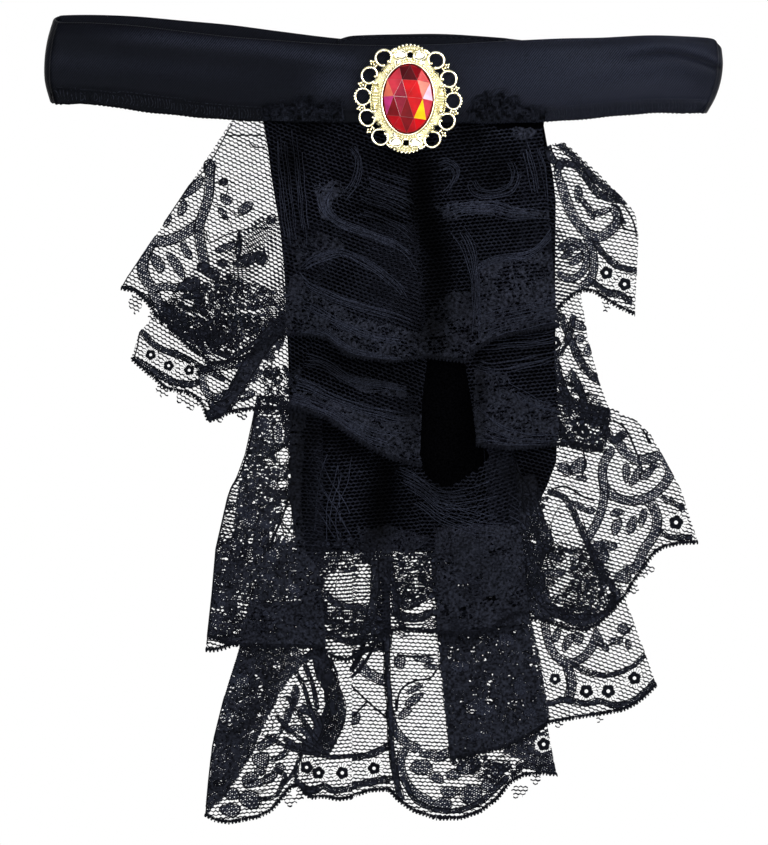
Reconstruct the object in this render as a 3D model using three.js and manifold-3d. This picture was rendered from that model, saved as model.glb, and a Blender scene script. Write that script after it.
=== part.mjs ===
// A lace jabot lying flat: a satin neck band closed into a flattened loop, a velvet panel, four lace
// tiers laid over each other with their folds, a gathered header and an oval brooch with a red stone.
//
// Frame: millimetres, +Z up from the surface that it lies on, +Y towards the neck band, +X to the
// right as it is seen from above. The plan of every cloth is drawn on squared paper: one square is
// SQUARE mm, x runs to the right, y runs down, and the middle of the sheet is (SHEET_X, SHEET_Y).

import * as THREE from 'three';
import { mergeVertices } from 'three/addons/utils/BufferGeometryUtils.js';
import Module from 'manifold-3d';

const wasm = await Module();
wasm.setup();

// ---------------------------------------------------------------- driving sizes (mm)
const SQUARE = 0.365;          // one square of the plan
const SHEET_X = 383;           // middle of the plan, in squares
const SHEET_Y = 419;

const LACE = 1.0;              // wall of a lace tier
const LAYER = 1.5;             // step from one folded layer of a tier to the next
const EASE = 0.5;              // air between a tier and what it lies on
const VELVET = 1.2;            // wall of the velvet panel
const SATIN = 1.2;             // wall of the neck band
const FRONT_Z = 11.8;          // middle of the band's front over the surface

const REPEAT = 236;            // squares from one large scallop of the lace to the next
const SCALLOP = 58;            // half width of a large scallop, in squares
const SCALLOP_DEPTH = 26;      // how far the hem pulls in beside it, in squares
const GARLAND_SAG = 8;         // sag of the hem between two large scallops, in squares

const BROOCH = { x: 408, y: 100, z: 13.3, tilt: -2.7 * Math.PI / 180, plate: 1.8, rim: 3.3 };
const STONE = { width: 18, height: 25, deep: 4.6 };

// ---------------------------------------------------------------- small helpers
const X = (x) => (x - SHEET_X) * SQUARE;
const Y = (y) => (SHEET_Y - y) * SQUARE;
const mix = (a, b, f) => a + (b - a) * f;
const clamp = (v, a, b) => Math.min(b, Math.max(a, v));
const soft = (f) => { const c = clamp(f, 0, 1); return c * c * (3 - 2 * c); };

// A closed wall from a grid of middle points grid[i][j]; `upright` offsets straight up and down.
function wall(grid, thickness, upright = false) {
  const n = grid.length, m = grid[0].length;
  const normals = grid.map((column) => column.map(() => new THREE.Vector3()));
  const a = new THREE.Vector3(), b = new THREE.Vector3();
  for (let i = 0; i < n - 1; i++) for (let j = 0; j < m - 1; j++) {
    a.subVectors(grid[i + 1][j + 1], grid[i][j]);
    b.subVectors(grid[i][j + 1], grid[i + 1][j]);
    const face = a.clone().cross(b).normalize();
    for (const [p, q] of [[i, j], [i + 1, j], [i, j + 1], [i + 1, j + 1]]) normals[p][q].add(face);
  }
  const points = [];
  for (const side of [0.5, -0.5]) for (let i = 0; i < n; i++) for (let j = 0; j < m; j++) {
    const normal = upright ? new THREE.Vector3(0, 0, 1) : normals[i][j].normalize();
    points.push(grid[i][j].clone().addScaledVector(normal, side * thickness));
  }
  const id = (side, i, j) => side * n * m + i * m + j;
  const index = [];
  const quad = (p, q, r, s) => index.push(p, q, r, p, r, s);
  for (let i = 0; i < n - 1; i++) for (let j = 0; j < m - 1; j++) {
    quad(id(0, i, j), id(0, i + 1, j), id(0, i + 1, j + 1), id(0, i, j + 1));
    quad(id(1, i, j), id(1, i, j + 1), id(1, i + 1, j + 1), id(1, i + 1, j));
  }
  for (let i = 0; i < n - 1; i++) {
    quad(id(0, i, 0), id(1, i, 0), id(1, i + 1, 0), id(0, i + 1, 0));
    quad(id(0, i, m - 1), id(0, i + 1, m - 1), id(1, i + 1, m - 1), id(1, i, m - 1));
  }
  for (let j = 0; j < m - 1; j++) {
    quad(id(0, 0, j), id(0, 0, j + 1), id(1, 0, j + 1), id(1, 0, j));
    quad(id(0, n - 1, j), id(1, n - 1, j), id(1, n - 1, j + 1), id(0, n - 1, j + 1));
  }
  const geometry = new THREE.BufferGeometry();
  geometry.setAttribute('position', new THREE.Float32BufferAttribute(points.flatMap((p) => [p.x, p.y, p.z]), 3));
  geometry.setIndex(index);
  return outward(geometry);
}

// turns every face round if the closed mesh is inside out
function outward(geometry) {
  const p = geometry.attributes.position, t = geometry.index.array;
  const a = new THREE.Vector3(), b = new THREE.Vector3(), c = new THREE.Vector3();
  let volume = 0;
  for (let k = 0; k < t.length; k += 3) {
    a.fromBufferAttribute(p, t[k]); b.fromBufferAttribute(p, t[k + 1]); c.fromBufferAttribute(p, t[k + 2]);
    volume += a.dot(b.cross(c));
  }
  if (volume < 0) for (let k = 0; k < t.length; k += 3) { const s = t[k]; t[k] = t[k + 1]; t[k + 1] = s; }
  geometry.computeVertexNormals();
  return geometry;
}

function toSolid(geometry) {
  const g = geometry.clone();
  g.deleteAttribute('normal'); g.deleteAttribute('uv');
  const merged = mergeVertices(g, 1e-4);
  return new wasm.Manifold(new wasm.Mesh({
    numProp: 3, vertProperties: new Float32Array(merged.attributes.position.array),
    triVerts: new Uint32Array(merged.index.array),
  }));
}

function fromSolid(solid) {
  const mesh = solid.getMesh();
  const geometry = new THREE.BufferGeometry();
  geometry.setAttribute('position', new THREE.BufferAttribute(new Float32Array(mesh.vertProperties), 3));
  geometry.setIndex(new THREE.BufferAttribute(new Uint32Array(mesh.triVerts), 1));
  geometry.computeVertexNormals();
  return geometry;
}

const group = new THREE.Group();
function add(name, geometry, color, roughness, metalness = 0) {
  const mesh = new THREE.Mesh(geometry, new THREE.MeshStandardMaterial({ color, roughness, metalness }));
  mesh.name = name;
  group.add(mesh);
  return mesh;
}

// ---------------------------------------------------------------- heights of what already lies there
// A square map of the highest point so far. A new tier lies on the map after it is spread by REACH
// cells and smoothed by as many, so it passes over every edge below without touching it.
const CELL = 2.0, REACH = 5, MAP_X = -140, MAP_Y = -165, MAP_NX = 141, MAP_NY = 166;
const heights = new Float64Array(MAP_NX * MAP_NY);

function pile(grid, thickness) {
  for (let i = 0; i < grid.length - 1; i++) for (let j = 0; j < grid[0].length - 1; j++) {
    const [a, b, c, d] = [grid[i][j], grid[i + 1][j], grid[i + 1][j + 1], grid[i][j + 1]];
    const n = Math.max(2, Math.ceil(Math.max(a.distanceTo(b), b.distanceTo(c), c.distanceTo(d), d.distanceTo(a)) / 0.8));
    for (let p = 0; p <= n; p++) for (let q = 0; q <= n; q++) {
      const f = p / n, g = q / n;
      const x = mix(mix(a.x, b.x, f), mix(d.x, c.x, f), g), y = mix(mix(a.y, b.y, f), mix(d.y, c.y, f), g);
      const z = mix(mix(a.z, b.z, f), mix(d.z, c.z, f), g) + thickness / 2;
      const ci = Math.round((x - MAP_X) / CELL), cj = Math.round((y - MAP_Y) / CELL);
      if (ci >= 0 && ci < MAP_NX && cj >= 0 && cj < MAP_NY) heights[cj * MAP_NX + ci] = Math.max(heights[cj * MAP_NX + ci], z);
    }
  }
}

function spread() {
  let map = Float64Array.from(heights);
  const pass = (source, horizontal, work) => {
    const out = new Float64Array(source.length);
    for (let j = 0; j < MAP_NY; j++) for (let i = 0; i < MAP_NX; i++) {
      const row = [];
      for (let k = -REACH; k <= REACH; k++) {
        const p = horizontal ? clamp(i + k, 0, MAP_NX - 1) : i, q = horizontal ? j : clamp(j + k, 0, MAP_NY - 1);
        row.push(source[q * MAP_NX + p]);
      }
      out[j * MAP_NX + i] = work(row);
    }
    return out;
  };
  const highest = (row) => Math.max(...row), mean = (row) => row.reduce((s, v) => s + v, 0) / row.length;
  for (const work of [highest, mean]) for (const horizontal of [true, false]) map = pass(map, horizontal, work);
  return (x, y) => {
    const u = clamp((x - MAP_X) / CELL, 0, MAP_NX - 1.001), v = clamp((y - MAP_Y) / CELL, 0, MAP_NY - 1.001);
    const i = Math.floor(u), j = Math.floor(v), f = u - i, g = v - j;
    return mix(mix(map[j * MAP_NX + i], map[j * MAP_NX + i + 1], f), mix(map[(j + 1) * MAP_NX + i], map[(j + 1) * MAP_NX + i + 1], f), g);
  };
}

// ---------------------------------------------------------------- lace tiers
// how far the hem lies above the line of the scallops' lowest points, in squares, at s squares along
function hemLine(s) {
  const d = Math.abs(((s % REPEAT) + 1.5 * REPEAT) % REPEAT - REPEAT / 2);
  if (d < SCALLOP) return SCALLOP_DEPTH * (1 - Math.cos(Math.PI * d / SCALLOP)) / 2;
  return SCALLOP_DEPTH - GARLAND_SAG * Math.sin(Math.PI / 2 * (d - SCALLOP) / (REPEAT / 2 - SCALLOP));
}

// A tier is a strip between fold lines. Each row is one fold line, from its sewn end (xt, yt) to the
// scallops' line (xh, yh). la and lb are the layers at the left and right end of the panel after it,
// up and mid are how far the cloth stands off there at the hem and half way up, turn says that the
// strip doubles back at this line, and s is the lace pattern's place along the hem (null goes on).
function strip(tier) {
  const base = spread();
  const rows = tier.folds;
  const line = rows.map((row, i) => {
    const side = i === 0 ? tier.leftSide : i === rows.length - 1 ? tier.rightSide : null;
    if (!side) return (v) => [X(mix(row.xh, row.xt, v)), Y(mix(row.yh, row.yt, v))];
    const points = [{ x: row.xh, y: row.yh }, ...side, { x: row.xt, y: row.yt }];
    const reach = [0];
    for (let k = 1; k < points.length; k++) reach.push(reach[k - 1] + Math.hypot(points[k].x - points[k - 1].x, points[k].y - points[k - 1].y));
    return (v) => {
      const at = v * reach[reach.length - 1];
      let k = 0;
      while (k < points.length - 2 && at > reach[k + 1]) k++;
      const f = (at - reach[k]) / (reach[k + 1] - reach[k]);
      return [X(mix(points[k].x, points[k + 1].x, f)), Y(mix(points[k].y, points[k + 1].y, f))];
    };
  });
  const columns = [];
  let s = rows[0].s ?? 0;
  for (let i = 0; i < rows.length - 1; i++) {
    const a = rows[i], b = rows[i + 1];
    if (a.s !== null && a.s !== undefined) s = a.s;
    const run = Math.hypot(b.xh - a.xh, b.yh - a.yh);
    const deep = Math.hypot(a.xt - a.xh, a.yt - a.yh);
    const parts = Math.max(2, Math.round(run / tier.step));
    for (let k = 0; k <= parts; k++) {
      if (k === 0 && i > 0 && !a.turn) continue;
      columns.push({ i, f: k / parts, s: s + run * k / parts, deep, arc: null });
    }
    s += run;
    if (b.turn) for (const angle of [-52, 0, 52]) columns.push({ i, f: 1, s, deep, arc: angle * Math.PI / 180 });
  }
  const radius = LAYER / 2;
  const grid = columns.map((column) => {
    const { i, f, arc } = column;
    const a = rows[i], b = rows[i + 1], points = [];
    for (let j = 0; j <= tier.rows; j++) {
      const hem = hemLine(column.s) / column.deep;
      const v = hem + (1 - hem) * j / tier.rows;
      const [ax, ay] = line[i](v), [bx, by] = line[i + 1](v);
      const length = Math.hypot(bx - ax, by - ay) || 1e-6;
      const short = Math.min(radius, 0.35 * length);
      const from = a.turn ? short / length : 0, to = b.turn ? 1 - short / length : 1;
      const g = mix(from, to, f);
      let x = mix(ax, bx, g), y = mix(ay, by, g);
      let layer = mix(a.la, a.lb, soft(f));
      let up = mix(a.up, b.up, soft(f)), mid = mix(a.mid, b.mid, soft(f));
      if (arc !== null) {
        x += Math.cos(arc) * short * (bx - ax) / length;
        y += Math.cos(arc) * short * (by - ay) / length;
        layer = mix(a.lb, b.la, 0.5 + 0.5 * Math.sin(arc));
        up = b.up; mid = b.mid;
      }
      const under = base(x, y);
      let z = under + Math.min(EASE, under) + LACE / 2 + layer * LAYER + up * (1 - v) ** 2 + mid * Math.sin(Math.PI * v) ** 2;
      if (tier.sewn) {
        const w = soft((v - tier.sewn.from) / (1 - tier.sewn.from));
        z = mix(z, Math.max(z, tier.sewn.z), w);
      }
      points.push(new THREE.Vector3(x, y, z));
    }
    return points;
  });
  pile(grid, LACE);
  return wall(grid, LACE);
}

// ---------------------------------------------------------------- velvet panel
const PANEL = [
  { y: 112, left: 262, right: 545, z: 8.8 },
  { y: 126, left: 264, right: 543.5, z: 8.8 },
  { y: 150, left: 268, right: 548, z: 7.0 },
  { y: 175, left: 271, right: 553, z: 4.2 },
  { y: 200, left: 275, right: 556, z: 1.9 },
  { y: 226, left: 279.5, right: 556, z: VELVET / 2 },
  { y: 269, left: 284, right: 555.5, z: VELVET / 2 },
  { y: 358, left: 288, right: 556, z: VELVET / 2 },
  { y: 422, left: 289, right: 558, z: VELVET / 2 },
  { y: 462, left: 290, right: 556.6, z: VELVET / 2 },
  { y: 487, left: 290.5, right: 547, z: VELVET / 2 },
  { y: 511, left: 291, right: 535, z: VELVET / 2 },
  { y: 552, left: 297, right: 503, z: VELVET / 2 },
];
const panelGrid = [0, 1].map((side) => PANEL.map((row) => new THREE.Vector3(X(side ? row.right : row.left), Y(row.y), row.z)));
pile(panelGrid, VELVET);

// ---------------------------------------------------------------- the lace tiers, from the lowest up
const TIER_4 = {
  step: 24, rows: 7,
  folds: [
    { xt: 322, yt: 540, xh: 217, yh: 821, la: 0, lb: 0, up: 0, mid: 0, s: -41 },
    { xt: 262, yt: 540, xh: 204, yh: 823, la: 1, lb: 1, up: 0, mid: 0, turn: true, s: -28 },
    { xt: 300, yt: 540, xh: 258, yh: 824, la: 1, lb: 2, up: 0.6, mid: 1.6, s: null },
    { xt: 345, yt: 540, xh: 313, yh: 820, la: 1, lb: 1, up: 0, mid: 0, turn: true, s: null },
    { xt: 306, yt: 540, xh: 300, yh: 820, la: 0, lb: 0, up: 0, mid: 0, turn: true, s: null },
    { xt: 352, yt: 540, xh: 352, yh: 818, la: 0, lb: 0, up: 0.5, mid: 1.5, s: null },
    { xt: 390, yt: 540, xh: 400, yh: 816, la: 1, lb: 1, up: 0, mid: 0, turn: true, s: null },
    { xt: 379, yt: 540, xh: 394, yh: 816, la: 2, lb: 0, up: 0, mid: 0, turn: true, s: -60 },
    { xt: 440, yt: 540, xh: 468, yh: 823, la: 0, lb: 0, up: 0.8, mid: 2.0, s: null },
    { xt: 512, yt: 540, xh: 559, yh: 786, la: 1, lb: 1, up: 0, mid: 0, turn: true, s: null },
    { xt: 424, yt: 540, xh: 450, yh: 757, la: 2, lb: 0.5, up: 0, mid: 0, turn: true, s: null },
    { xt: 560, yt: 540, xh: 570, yh: 722, la: 0.5, lb: 0, up: 0.3, mid: 0.6, s: null },
    { xt: 604, yt: 540, xh: 660, yh: 694, la: 0, lb: 0, up: 0, mid: 0, s: null },
  ],
};
const TIER_3 = {
  step: 22, rows: 8,
  folds: [
    { xt: 276, yt: 395, xh: 262, yh: 664, la: 0, lb: 0, up: 0, mid: 0, s: -60 },
    { xt: 257, yt: 395, xh: 206, yh: 650, la: 1, lb: 1, up: 0, mid: 0, turn: true, s: 60 },
    { xt: 285, yt: 395, xh: 262, yh: 666, la: 1, lb: 2, up: 0.5, mid: 1.5, s: null },
    { xt: 322, yt: 395, xh: 326, yh: 660, la: 1, lb: 1, up: 0, mid: 0, turn: true, s: null },
    { xt: 300, yt: 395, xh: 296, yh: 660, la: 0, lb: 0, up: 0, mid: 0, turn: true, s: -50 },
    { xt: 335, yt: 395, xh: 346, yh: 660, la: 0, lb: 0, up: 0.8, mid: 5.0, s: null },
    { xt: 376, yt: 395, xh: 388, yh: 656, la: 0, lb: 2, up: 0, mid: -0.2, s: null },
    { xt: 404, yt: 395, xh: 434, yh: 652, la: 2, lb: 2, up: 0.5, mid: 3.0, s: null },
    { xt: 470, yt: 395, xh: 486, yh: 652, la: 2, lb: 2, up: 1.0, mid: 5.0, s: null },
    { xt: 508, yt: 395, xh: 531, yh: 636, la: 1, lb: 1, up: 0, mid: 0, turn: true, s: null },
    { xt: 480, yt: 395, xh: 497, yh: 630, la: 0, lb: 0, up: 0, mid: 0, turn: true, s: -140 },
    { xt: 548, yt: 395, xh: 610, yh: 616, la: 0, lb: 0, up: 0.4, mid: 1.6, s: -13 },
    { xt: 590, yt: 398, xh: 700, yh: 547, la: 0, lb: 0, up: 0, mid: 0, s: null },
  ],
  rightSide: [{ x: 681, y: 489 }, { x: 662, y: 454 }, { x: 651, y: 435 }, { x: 638, y: 422 }, { x: 615, y: 410 }],
};
const TIER_2_LEFT = {
  step: 22, rows: 7,
  folds: [
    { xt: 262, yt: 216, xh: 119, yh: 380, la: 0, lb: 0, up: 0, mid: 0, s: 98 },
    { xt: 360, yt: 222, xh: 214, yh: 428, la: 1, lb: 1, up: 0, mid: 0, turn: true, s: null },
    { xt: 330, yt: 222, xh: 201, yh: 420, la: 2, lb: 1, up: 0, mid: 0, turn: true, s: null },
    { xt: 352, yt: 222, xh: 286, yh: 416, la: 1, lb: 0, up: 0.5, mid: 1.0, s: null },
    { xt: 385, yt: 222, xh: 350, yh: 444, la: 0, lb: 0, up: 1.5, mid: 4.0, s: null },
    { xt: 418, yt: 222, xh: 423, yh: 478, la: 0, lb: 0, up: 0, mid: 0.5, s: null },
  ],
  leftSide: [{ x: 133, y: 352 }, { x: 138, y: 334 }, { x: 148, y: 322 }, { x: 200, y: 260 }],
};
const TIER_2_RIGHT = {
  step: 22, rows: 7,
  folds: [
    { xt: 468, yt: 222, xh: 476, yh: 462, la: 0, lb: 0, up: 0, mid: 0.5, s: -20 },
    { xt: 512, yt: 222, xh: 520, yh: 462, la: 0, lb: 0, up: 1.5, mid: 4.0, s: null },
    { xt: 545, yt: 222, xh: 562, yh: 462, la: 0, lb: 0, up: 0, mid: 0.6, s: null },
    { xt: 566, yt: 232, xh: 603, yh: 466, la: 0, lb: 0, up: 0, mid: 0, s: null },
  ],
  rightSide: [{ x: 611, y: 412 }, { x: 599, y: 380 }, { x: 588, y: 339 }, { x: 583, y: 305 }],
};
const TIER_1 = {
  step: 20, rows: 8,
  sewn: { z: 10.4, from: 0.62 },
  folds: [
    { xt: 236, yt: 115, xh: 109, yh: 304, la: 0, lb: 0, up: 0, mid: 0, s: -75 },
    { xt: 262, yt: 114, xh: 212, yh: 371, la: 0, lb: 0, up: 0.4, mid: 0.8, s: null },
    { xt: 276, yt: 113, xh: 287, yh: 350, la: 0, lb: 0, up: 0, mid: 0.4, s: null },
    { xt: 316, yt: 112, xh: 340, yh: 366, la: 0, lb: 0, up: 1.6, mid: 4.6, s: null },
    { xt: 362, yt: 112, xh: 384, yh: 376, la: 0, lb: 0, up: 1.2, mid: 3.4, s: null },
    { xt: 408, yt: 112, xh: 424, yh: 376, la: 0, lb: 0, up: 0, mid: 0, s: null },
    { xt: 446, yt: 113, xh: 462, yh: 374, la: 0, lb: 0, up: 1.2, mid: 3.8, s: null },
    { xt: 496, yt: 127, xh: 506, yh: 364, la: 0, lb: 2, up: 1.6, mid: 4.6, s: null },
    { xt: 542, yt: 129, xh: 559, yh: 342, la: 1, lb: 1, up: 0, mid: 0, turn: true, s: null },
    { xt: 522, yt: 129, xh: 511, yh: 322, la: 0, lb: 0, up: 0, mid: 0, turn: true, s: -21 },
    { xt: 534, yt: 129, xh: 580, yh: 318, la: 0, lb: 0, up: 0.3, mid: 0.6, s: null },
    { xt: 545, yt: 129, xh: 635, yh: 317, la: 0, lb: 0, up: 0, mid: 0, s: null },
  ],
  rightSide: [{ x: 639, y: 238 }, { x: 636, y: 214 }, { x: 625, y: 200 }, { x: 599, y: 174 }, { x: 572, y: 150 }],
};

const navy = 0x141823, black = 0x08080a;
add('back_panel', wall(panelGrid, VELVET, true), black, 0.95);
add('lace_tier_4', strip(TIER_4), navy, 0.85);
add('lace_tier_3', strip(TIER_3), navy, 0.85);
const secondTier = [strip(TIER_2_LEFT)];
secondTier.push(strip(TIER_2_RIGHT));
add('lace_tier_2_left', secondTier[0], navy, 0.85);
add('lace_tier_2_right', secondTier[1], navy, 0.85);
add('lace_tier_1', strip(TIER_1), navy, 0.85);

// ---------------------------------------------------------------- neck band
// Its route round the loop: from the end that lies lowest behind, to the left, over the front to the
// right, and back behind to the end that lies on the first. top and low are its edges in the plan.
const BEHIND = [
  { x: 500, top: 52, low: 121, z: 0.6 }, { x: 420, top: 45, low: 121, z: 0.6 },
  { x: 336, top: 37.4, low: 119, z: 0.6 }, { x: 276, top: 30, low: 115, z: 0.6 },
  { x: 230, top: 24, low: 110, z: 0.6 }, { x: 180, top: 19.5, low: 106, z: 0.6 },
  { x: 135, top: 15.5, low: 101, z: 0.6 }, { x: 95, top: 14, low: 99, z: 0.6 },
];
const FRONT = [
  { x: 95, top: 23.5, low: 105.5, z: 10.4 }, { x: 138, top: 26.5, low: 112, z: 10.9 },
  { x: 183, top: 32, low: 117, z: 11.4 }, { x: 230, top: 37.5, low: 121, z: FRONT_Z },
  { x: 276, top: 41, low: 123, z: FRONT_Z }, { x: 328, top: 44.6, low: 124, z: FRONT_Z },
  { x: 379, top: 46, low: 124.5, z: FRONT_Z }, { x: 440, top: 45, low: 124.5, z: FRONT_Z },
  { x: 500, top: 42, low: 124.5, z: FRONT_Z }, { x: 560, top: 39.2, low: 122, z: FRONT_Z },
  { x: 600, top: 38.3, low: 118.6, z: 11.4 }, { x: 645, top: 36, low: 114.5, z: 10.9 },
  { x: 678, top: 36.5, low: 114, z: 10.4 },
];
const BEHIND_AGAIN = [
  { x: 678, top: 41, low: 111, z: 0.6 }, { x: 620, top: 41, low: 113, z: 0.6 },
  { x: 560, top: 41, low: 117, z: 0.6 }, { x: 530, top: 40, low: 118, z: 0.7 },
  { x: 512, top: 38.5, low: 118, z: 2.9 }, { x: 498, top: 37, low: 118, z: 3.25 },
  { x: 445, top: 33.6, low: 116, z: 3.25 }, { x: 400, top: 33.8, low: 114, z: 3.25 },
  { x: 359, top: 34.7, low: 113, z: 3.25 }, { x: 340, top: 36, low: 112, z: 3.25 },
];
// the rounded ends: how far out each of the five points across the band lies, in squares
const ENDS = {
  left: [55, 49, 46, 46.4, 52], right: [714, 720, 721.6, 718, 706],
};
const PILLOW = [-0.9, 0, 0.5, 0.3, 0];   // the front's soft crown across its height

function bandColumn(row, crown) {
  return PILLOW.map((lift, k) => new THREE.Vector3(X(row.x), Y(mix(row.top, row.low, k / 4)), row.z + crown * lift));
}
function bandEnd(from, to, ends, name) {
  const columns = [];
  for (const angle of [-68, -40, -13, 13, 40, 68]) {
    const a = angle * Math.PI / 180, rise = 0.5 + 0.5 * Math.sin(a) * (name === 'left' ? 1 : -1);
    columns.push(PILLOW.map((lift, k) => {
      const low = name === 'left' ? from : to, high = name === 'left' ? to : from;
      const x = mix(low.x, ends[k], 0.62 + 0.38 * Math.cos(a) * 1.0);
      const y = mix(mix(low.top, high.top, rise), mix(low.low, high.low, rise), k / 4);
      return new THREE.Vector3(X(x), Y(y), mix(low.z, high.z, rise) + rise * lift * 0.8);
    }));
  }
  return columns;
}
const bandGrid = [
  ...BEHIND.map((row) => bandColumn(row, 0)),
  ...bandEnd(BEHIND[BEHIND.length - 1], FRONT[0], ENDS.left, 'left'),
  ...FRONT.map((row) => bandColumn(row, 1)),
  ...bandEnd(FRONT[FRONT.length - 1], BEHIND_AGAIN[0], ENDS.right, 'right'),
  ...BEHIND_AGAIN.map((row) => bandColumn(row, 0)),
];
add('neck_band', wall(bandGrid, SATIN), 0x12141b, 0.4);

const fastener = new THREE.BoxGeometry(136 * SQUARE, 50 * SQUARE, 0.8);
add('touch_fastener', fastener, black, 0.9).position.set(X(420), Y(84), 1.92);

// ---------------------------------------------------------------- gathered header of the top tier
const FRILL = { wave: 14, lift: 1.9, z: 13.55, perWave: 5 };
function frill(side) {
  const grid = [];
  const n = Math.round((side.to - side.from) / FRILL.wave * FRILL.perWave);
  for (let i = 0; i <= n; i++) {
    const x = mix(side.from, side.to, i / n), phase = 2 * Math.PI * (x - side.from) / FRILL.wave;
    const column = [];
    for (const v of [0, 0.5, 1]) {
      const sway = Math.sin(phase * 0.5 + 1) * 2.5;
      column.push(new THREE.Vector3(X(x + v * Math.sin(phase) * 2), Y(mix(side.low, side.top + sway, v)),
        FRILL.z + FRILL.lift * v * (1 - Math.cos(phase)) / 2));
    }
    grid.push(column);
  }
  return wall(grid, LACE);
}
add('header_frill_left', frill({ from: 266, to: 344, low: 119, top: 105 }), navy, 0.85);
add('header_frill_right', frill({ from: 471, to: 543, low: 119, top: 98 }), navy, 0.85);

// ---------------------------------------------------------------- brooch
const LOOPS = [
  { angle: 33.5, reach: 17.4 }, { angle: 61.3, reach: 16.5 }, { angle: 89.8, reach: 16.5 },
  { angle: 117.5, reach: 16.4 }, { angle: 146.4, reach: 17.2 },
];
const LOOP = { outer: 3.25, inner: 2.35 };
const LOBE = { y: 15.6, rx: 6.2, ry: 4.45, hole: 1.2 };
const BEZEL = { gap: 0.3, rim: 1.35 };

function disc(rx, ry, height, sides, x, y, z) {
  const g = new THREE.CylinderGeometry(1, 1, height, sides);
  g.rotateX(Math.PI / 2);
  g.scale(rx, ry, 1);
  g.translate(x, y, z + height / 2);
  return toSolid(g);
}
let frame = disc(13.9, 15.9, BROOCH.plate, 32, 0, 0, 0);
let holes = null;
for (const side of [-1, 1]) {
  for (const loop of LOOPS) {
    const a = side * loop.angle * Math.PI / 180, x = loop.reach * Math.sin(a), y = loop.reach * Math.cos(a);
    frame = frame.add(disc(LOOP.outer, LOOP.outer, BROOCH.plate, 14, x, y, 0));
    const hole = disc(LOOP.inner, LOOP.inner, 4, 12, x, y, -1);
    holes = holes ? holes.add(hole) : hole;
  }
  frame = frame.add(disc(LOBE.rx, LOBE.ry, BROOCH.plate, 18, 0, side * LOBE.y, 0));
  holes = holes.add(disc(LOBE.hole, LOBE.hole, 4, 10, 0, side * (LOBE.y + 0.4), -1));
}
const seatX = STONE.width / 2 + BEZEL.gap, seatY = STONE.height / 2 + BEZEL.gap;
frame = frame.subtract(holes);
const rim = disc(seatX + BEZEL.rim, seatY + BEZEL.rim, BROOCH.rim - 0.9, 32, 0, 0, 0.9);
frame = frame.add(rim).subtract(disc(seatX, seatY, 6, 32, 0, 0, 0.9));
const brooch = new THREE.Group();
brooch.position.set(X(BROOCH.x), Y(BROOCH.y), BROOCH.z);
brooch.rotation.z = BROOCH.tilt;
group.add(brooch);
const frameMesh = new THREE.Mesh(fromSolid(frame), new THREE.MeshStandardMaterial({ color: 0xd9c06a, roughness: 0.25, metalness: 1 }));
frameMesh.name = 'brooch_frame';
brooch.add(frameMesh);

const profile = [
  [0, 0], [0.94, 0], [1, 0.9], [0.72, STONE.deep * 0.74], [0.34, STONE.deep], [0, STONE.deep],
].map(([r, z]) => new THREE.Vector2(r * STONE.width / 2, z));
const stoneGeometry = new THREE.LatheGeometry(profile, 14);
stoneGeometry.rotateX(Math.PI / 2);
stoneGeometry.scale(1, STONE.height / STONE.width, 1);
const stone = new THREE.Mesh(stoneGeometry, new THREE.MeshStandardMaterial({ color: 0xc81420, roughness: 0.05, metalness: 0 }));
stone.name = 'brooch_stone';
stone.position.z = 1.2;
brooch.add(stone);

// ---------------------------------------------------------------- origin: middle of the box, on the surface
group.updateMatrixWorld(true);
const box = new THREE.Box3().setFromObject(group, true);
group.position.set(-(box.min.x + box.max.x) / 2, -(box.min.y + box.max.y) / 2, -box.min.z);
group.updateMatrixWorld(true);

export default group;
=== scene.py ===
"""Looks of the lace jabot: openwork lace tiers, satin neck band, velvet panel, gold brooch with a red stone.

Plan measures are in squares of squared paper, as in the CAD source: x to the right, y down.
"""
import math

import bpy
import numpy as np
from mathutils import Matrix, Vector


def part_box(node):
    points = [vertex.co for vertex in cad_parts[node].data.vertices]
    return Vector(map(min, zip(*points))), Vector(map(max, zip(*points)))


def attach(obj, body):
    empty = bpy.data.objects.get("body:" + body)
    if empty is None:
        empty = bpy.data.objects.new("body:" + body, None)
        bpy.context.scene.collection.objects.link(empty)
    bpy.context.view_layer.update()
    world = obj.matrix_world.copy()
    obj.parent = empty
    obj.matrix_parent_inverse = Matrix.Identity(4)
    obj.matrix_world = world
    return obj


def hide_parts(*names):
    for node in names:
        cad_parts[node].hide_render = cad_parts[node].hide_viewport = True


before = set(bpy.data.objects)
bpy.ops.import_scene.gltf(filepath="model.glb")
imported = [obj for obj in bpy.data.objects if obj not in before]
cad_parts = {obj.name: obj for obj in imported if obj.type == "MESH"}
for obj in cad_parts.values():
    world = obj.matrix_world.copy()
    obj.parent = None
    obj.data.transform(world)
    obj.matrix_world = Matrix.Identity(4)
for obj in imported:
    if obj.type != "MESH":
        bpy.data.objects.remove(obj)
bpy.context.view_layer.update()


rng = np.random.default_rng(7)

# ------------------------------------------------------------------ plan to row frame
SQ = 0.000365                      # metres in a square
lo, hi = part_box("back_panel")
OX = lo.x - 262 * SQ               # x of square 0
OY = hi.y + 112 * SQ               # y of square 0
MM = 0.001


def to_x(x):
    return OX + np.asarray(x, float) * SQ


def to_y(y):
    return OY - np.asarray(y, float) * SQ


def mix(a, b, f):
    return a + (b - a) * f


def soft(f):
    c = np.clip(f, 0, 1)
    return c * c * (3 - 2 * c)


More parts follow.
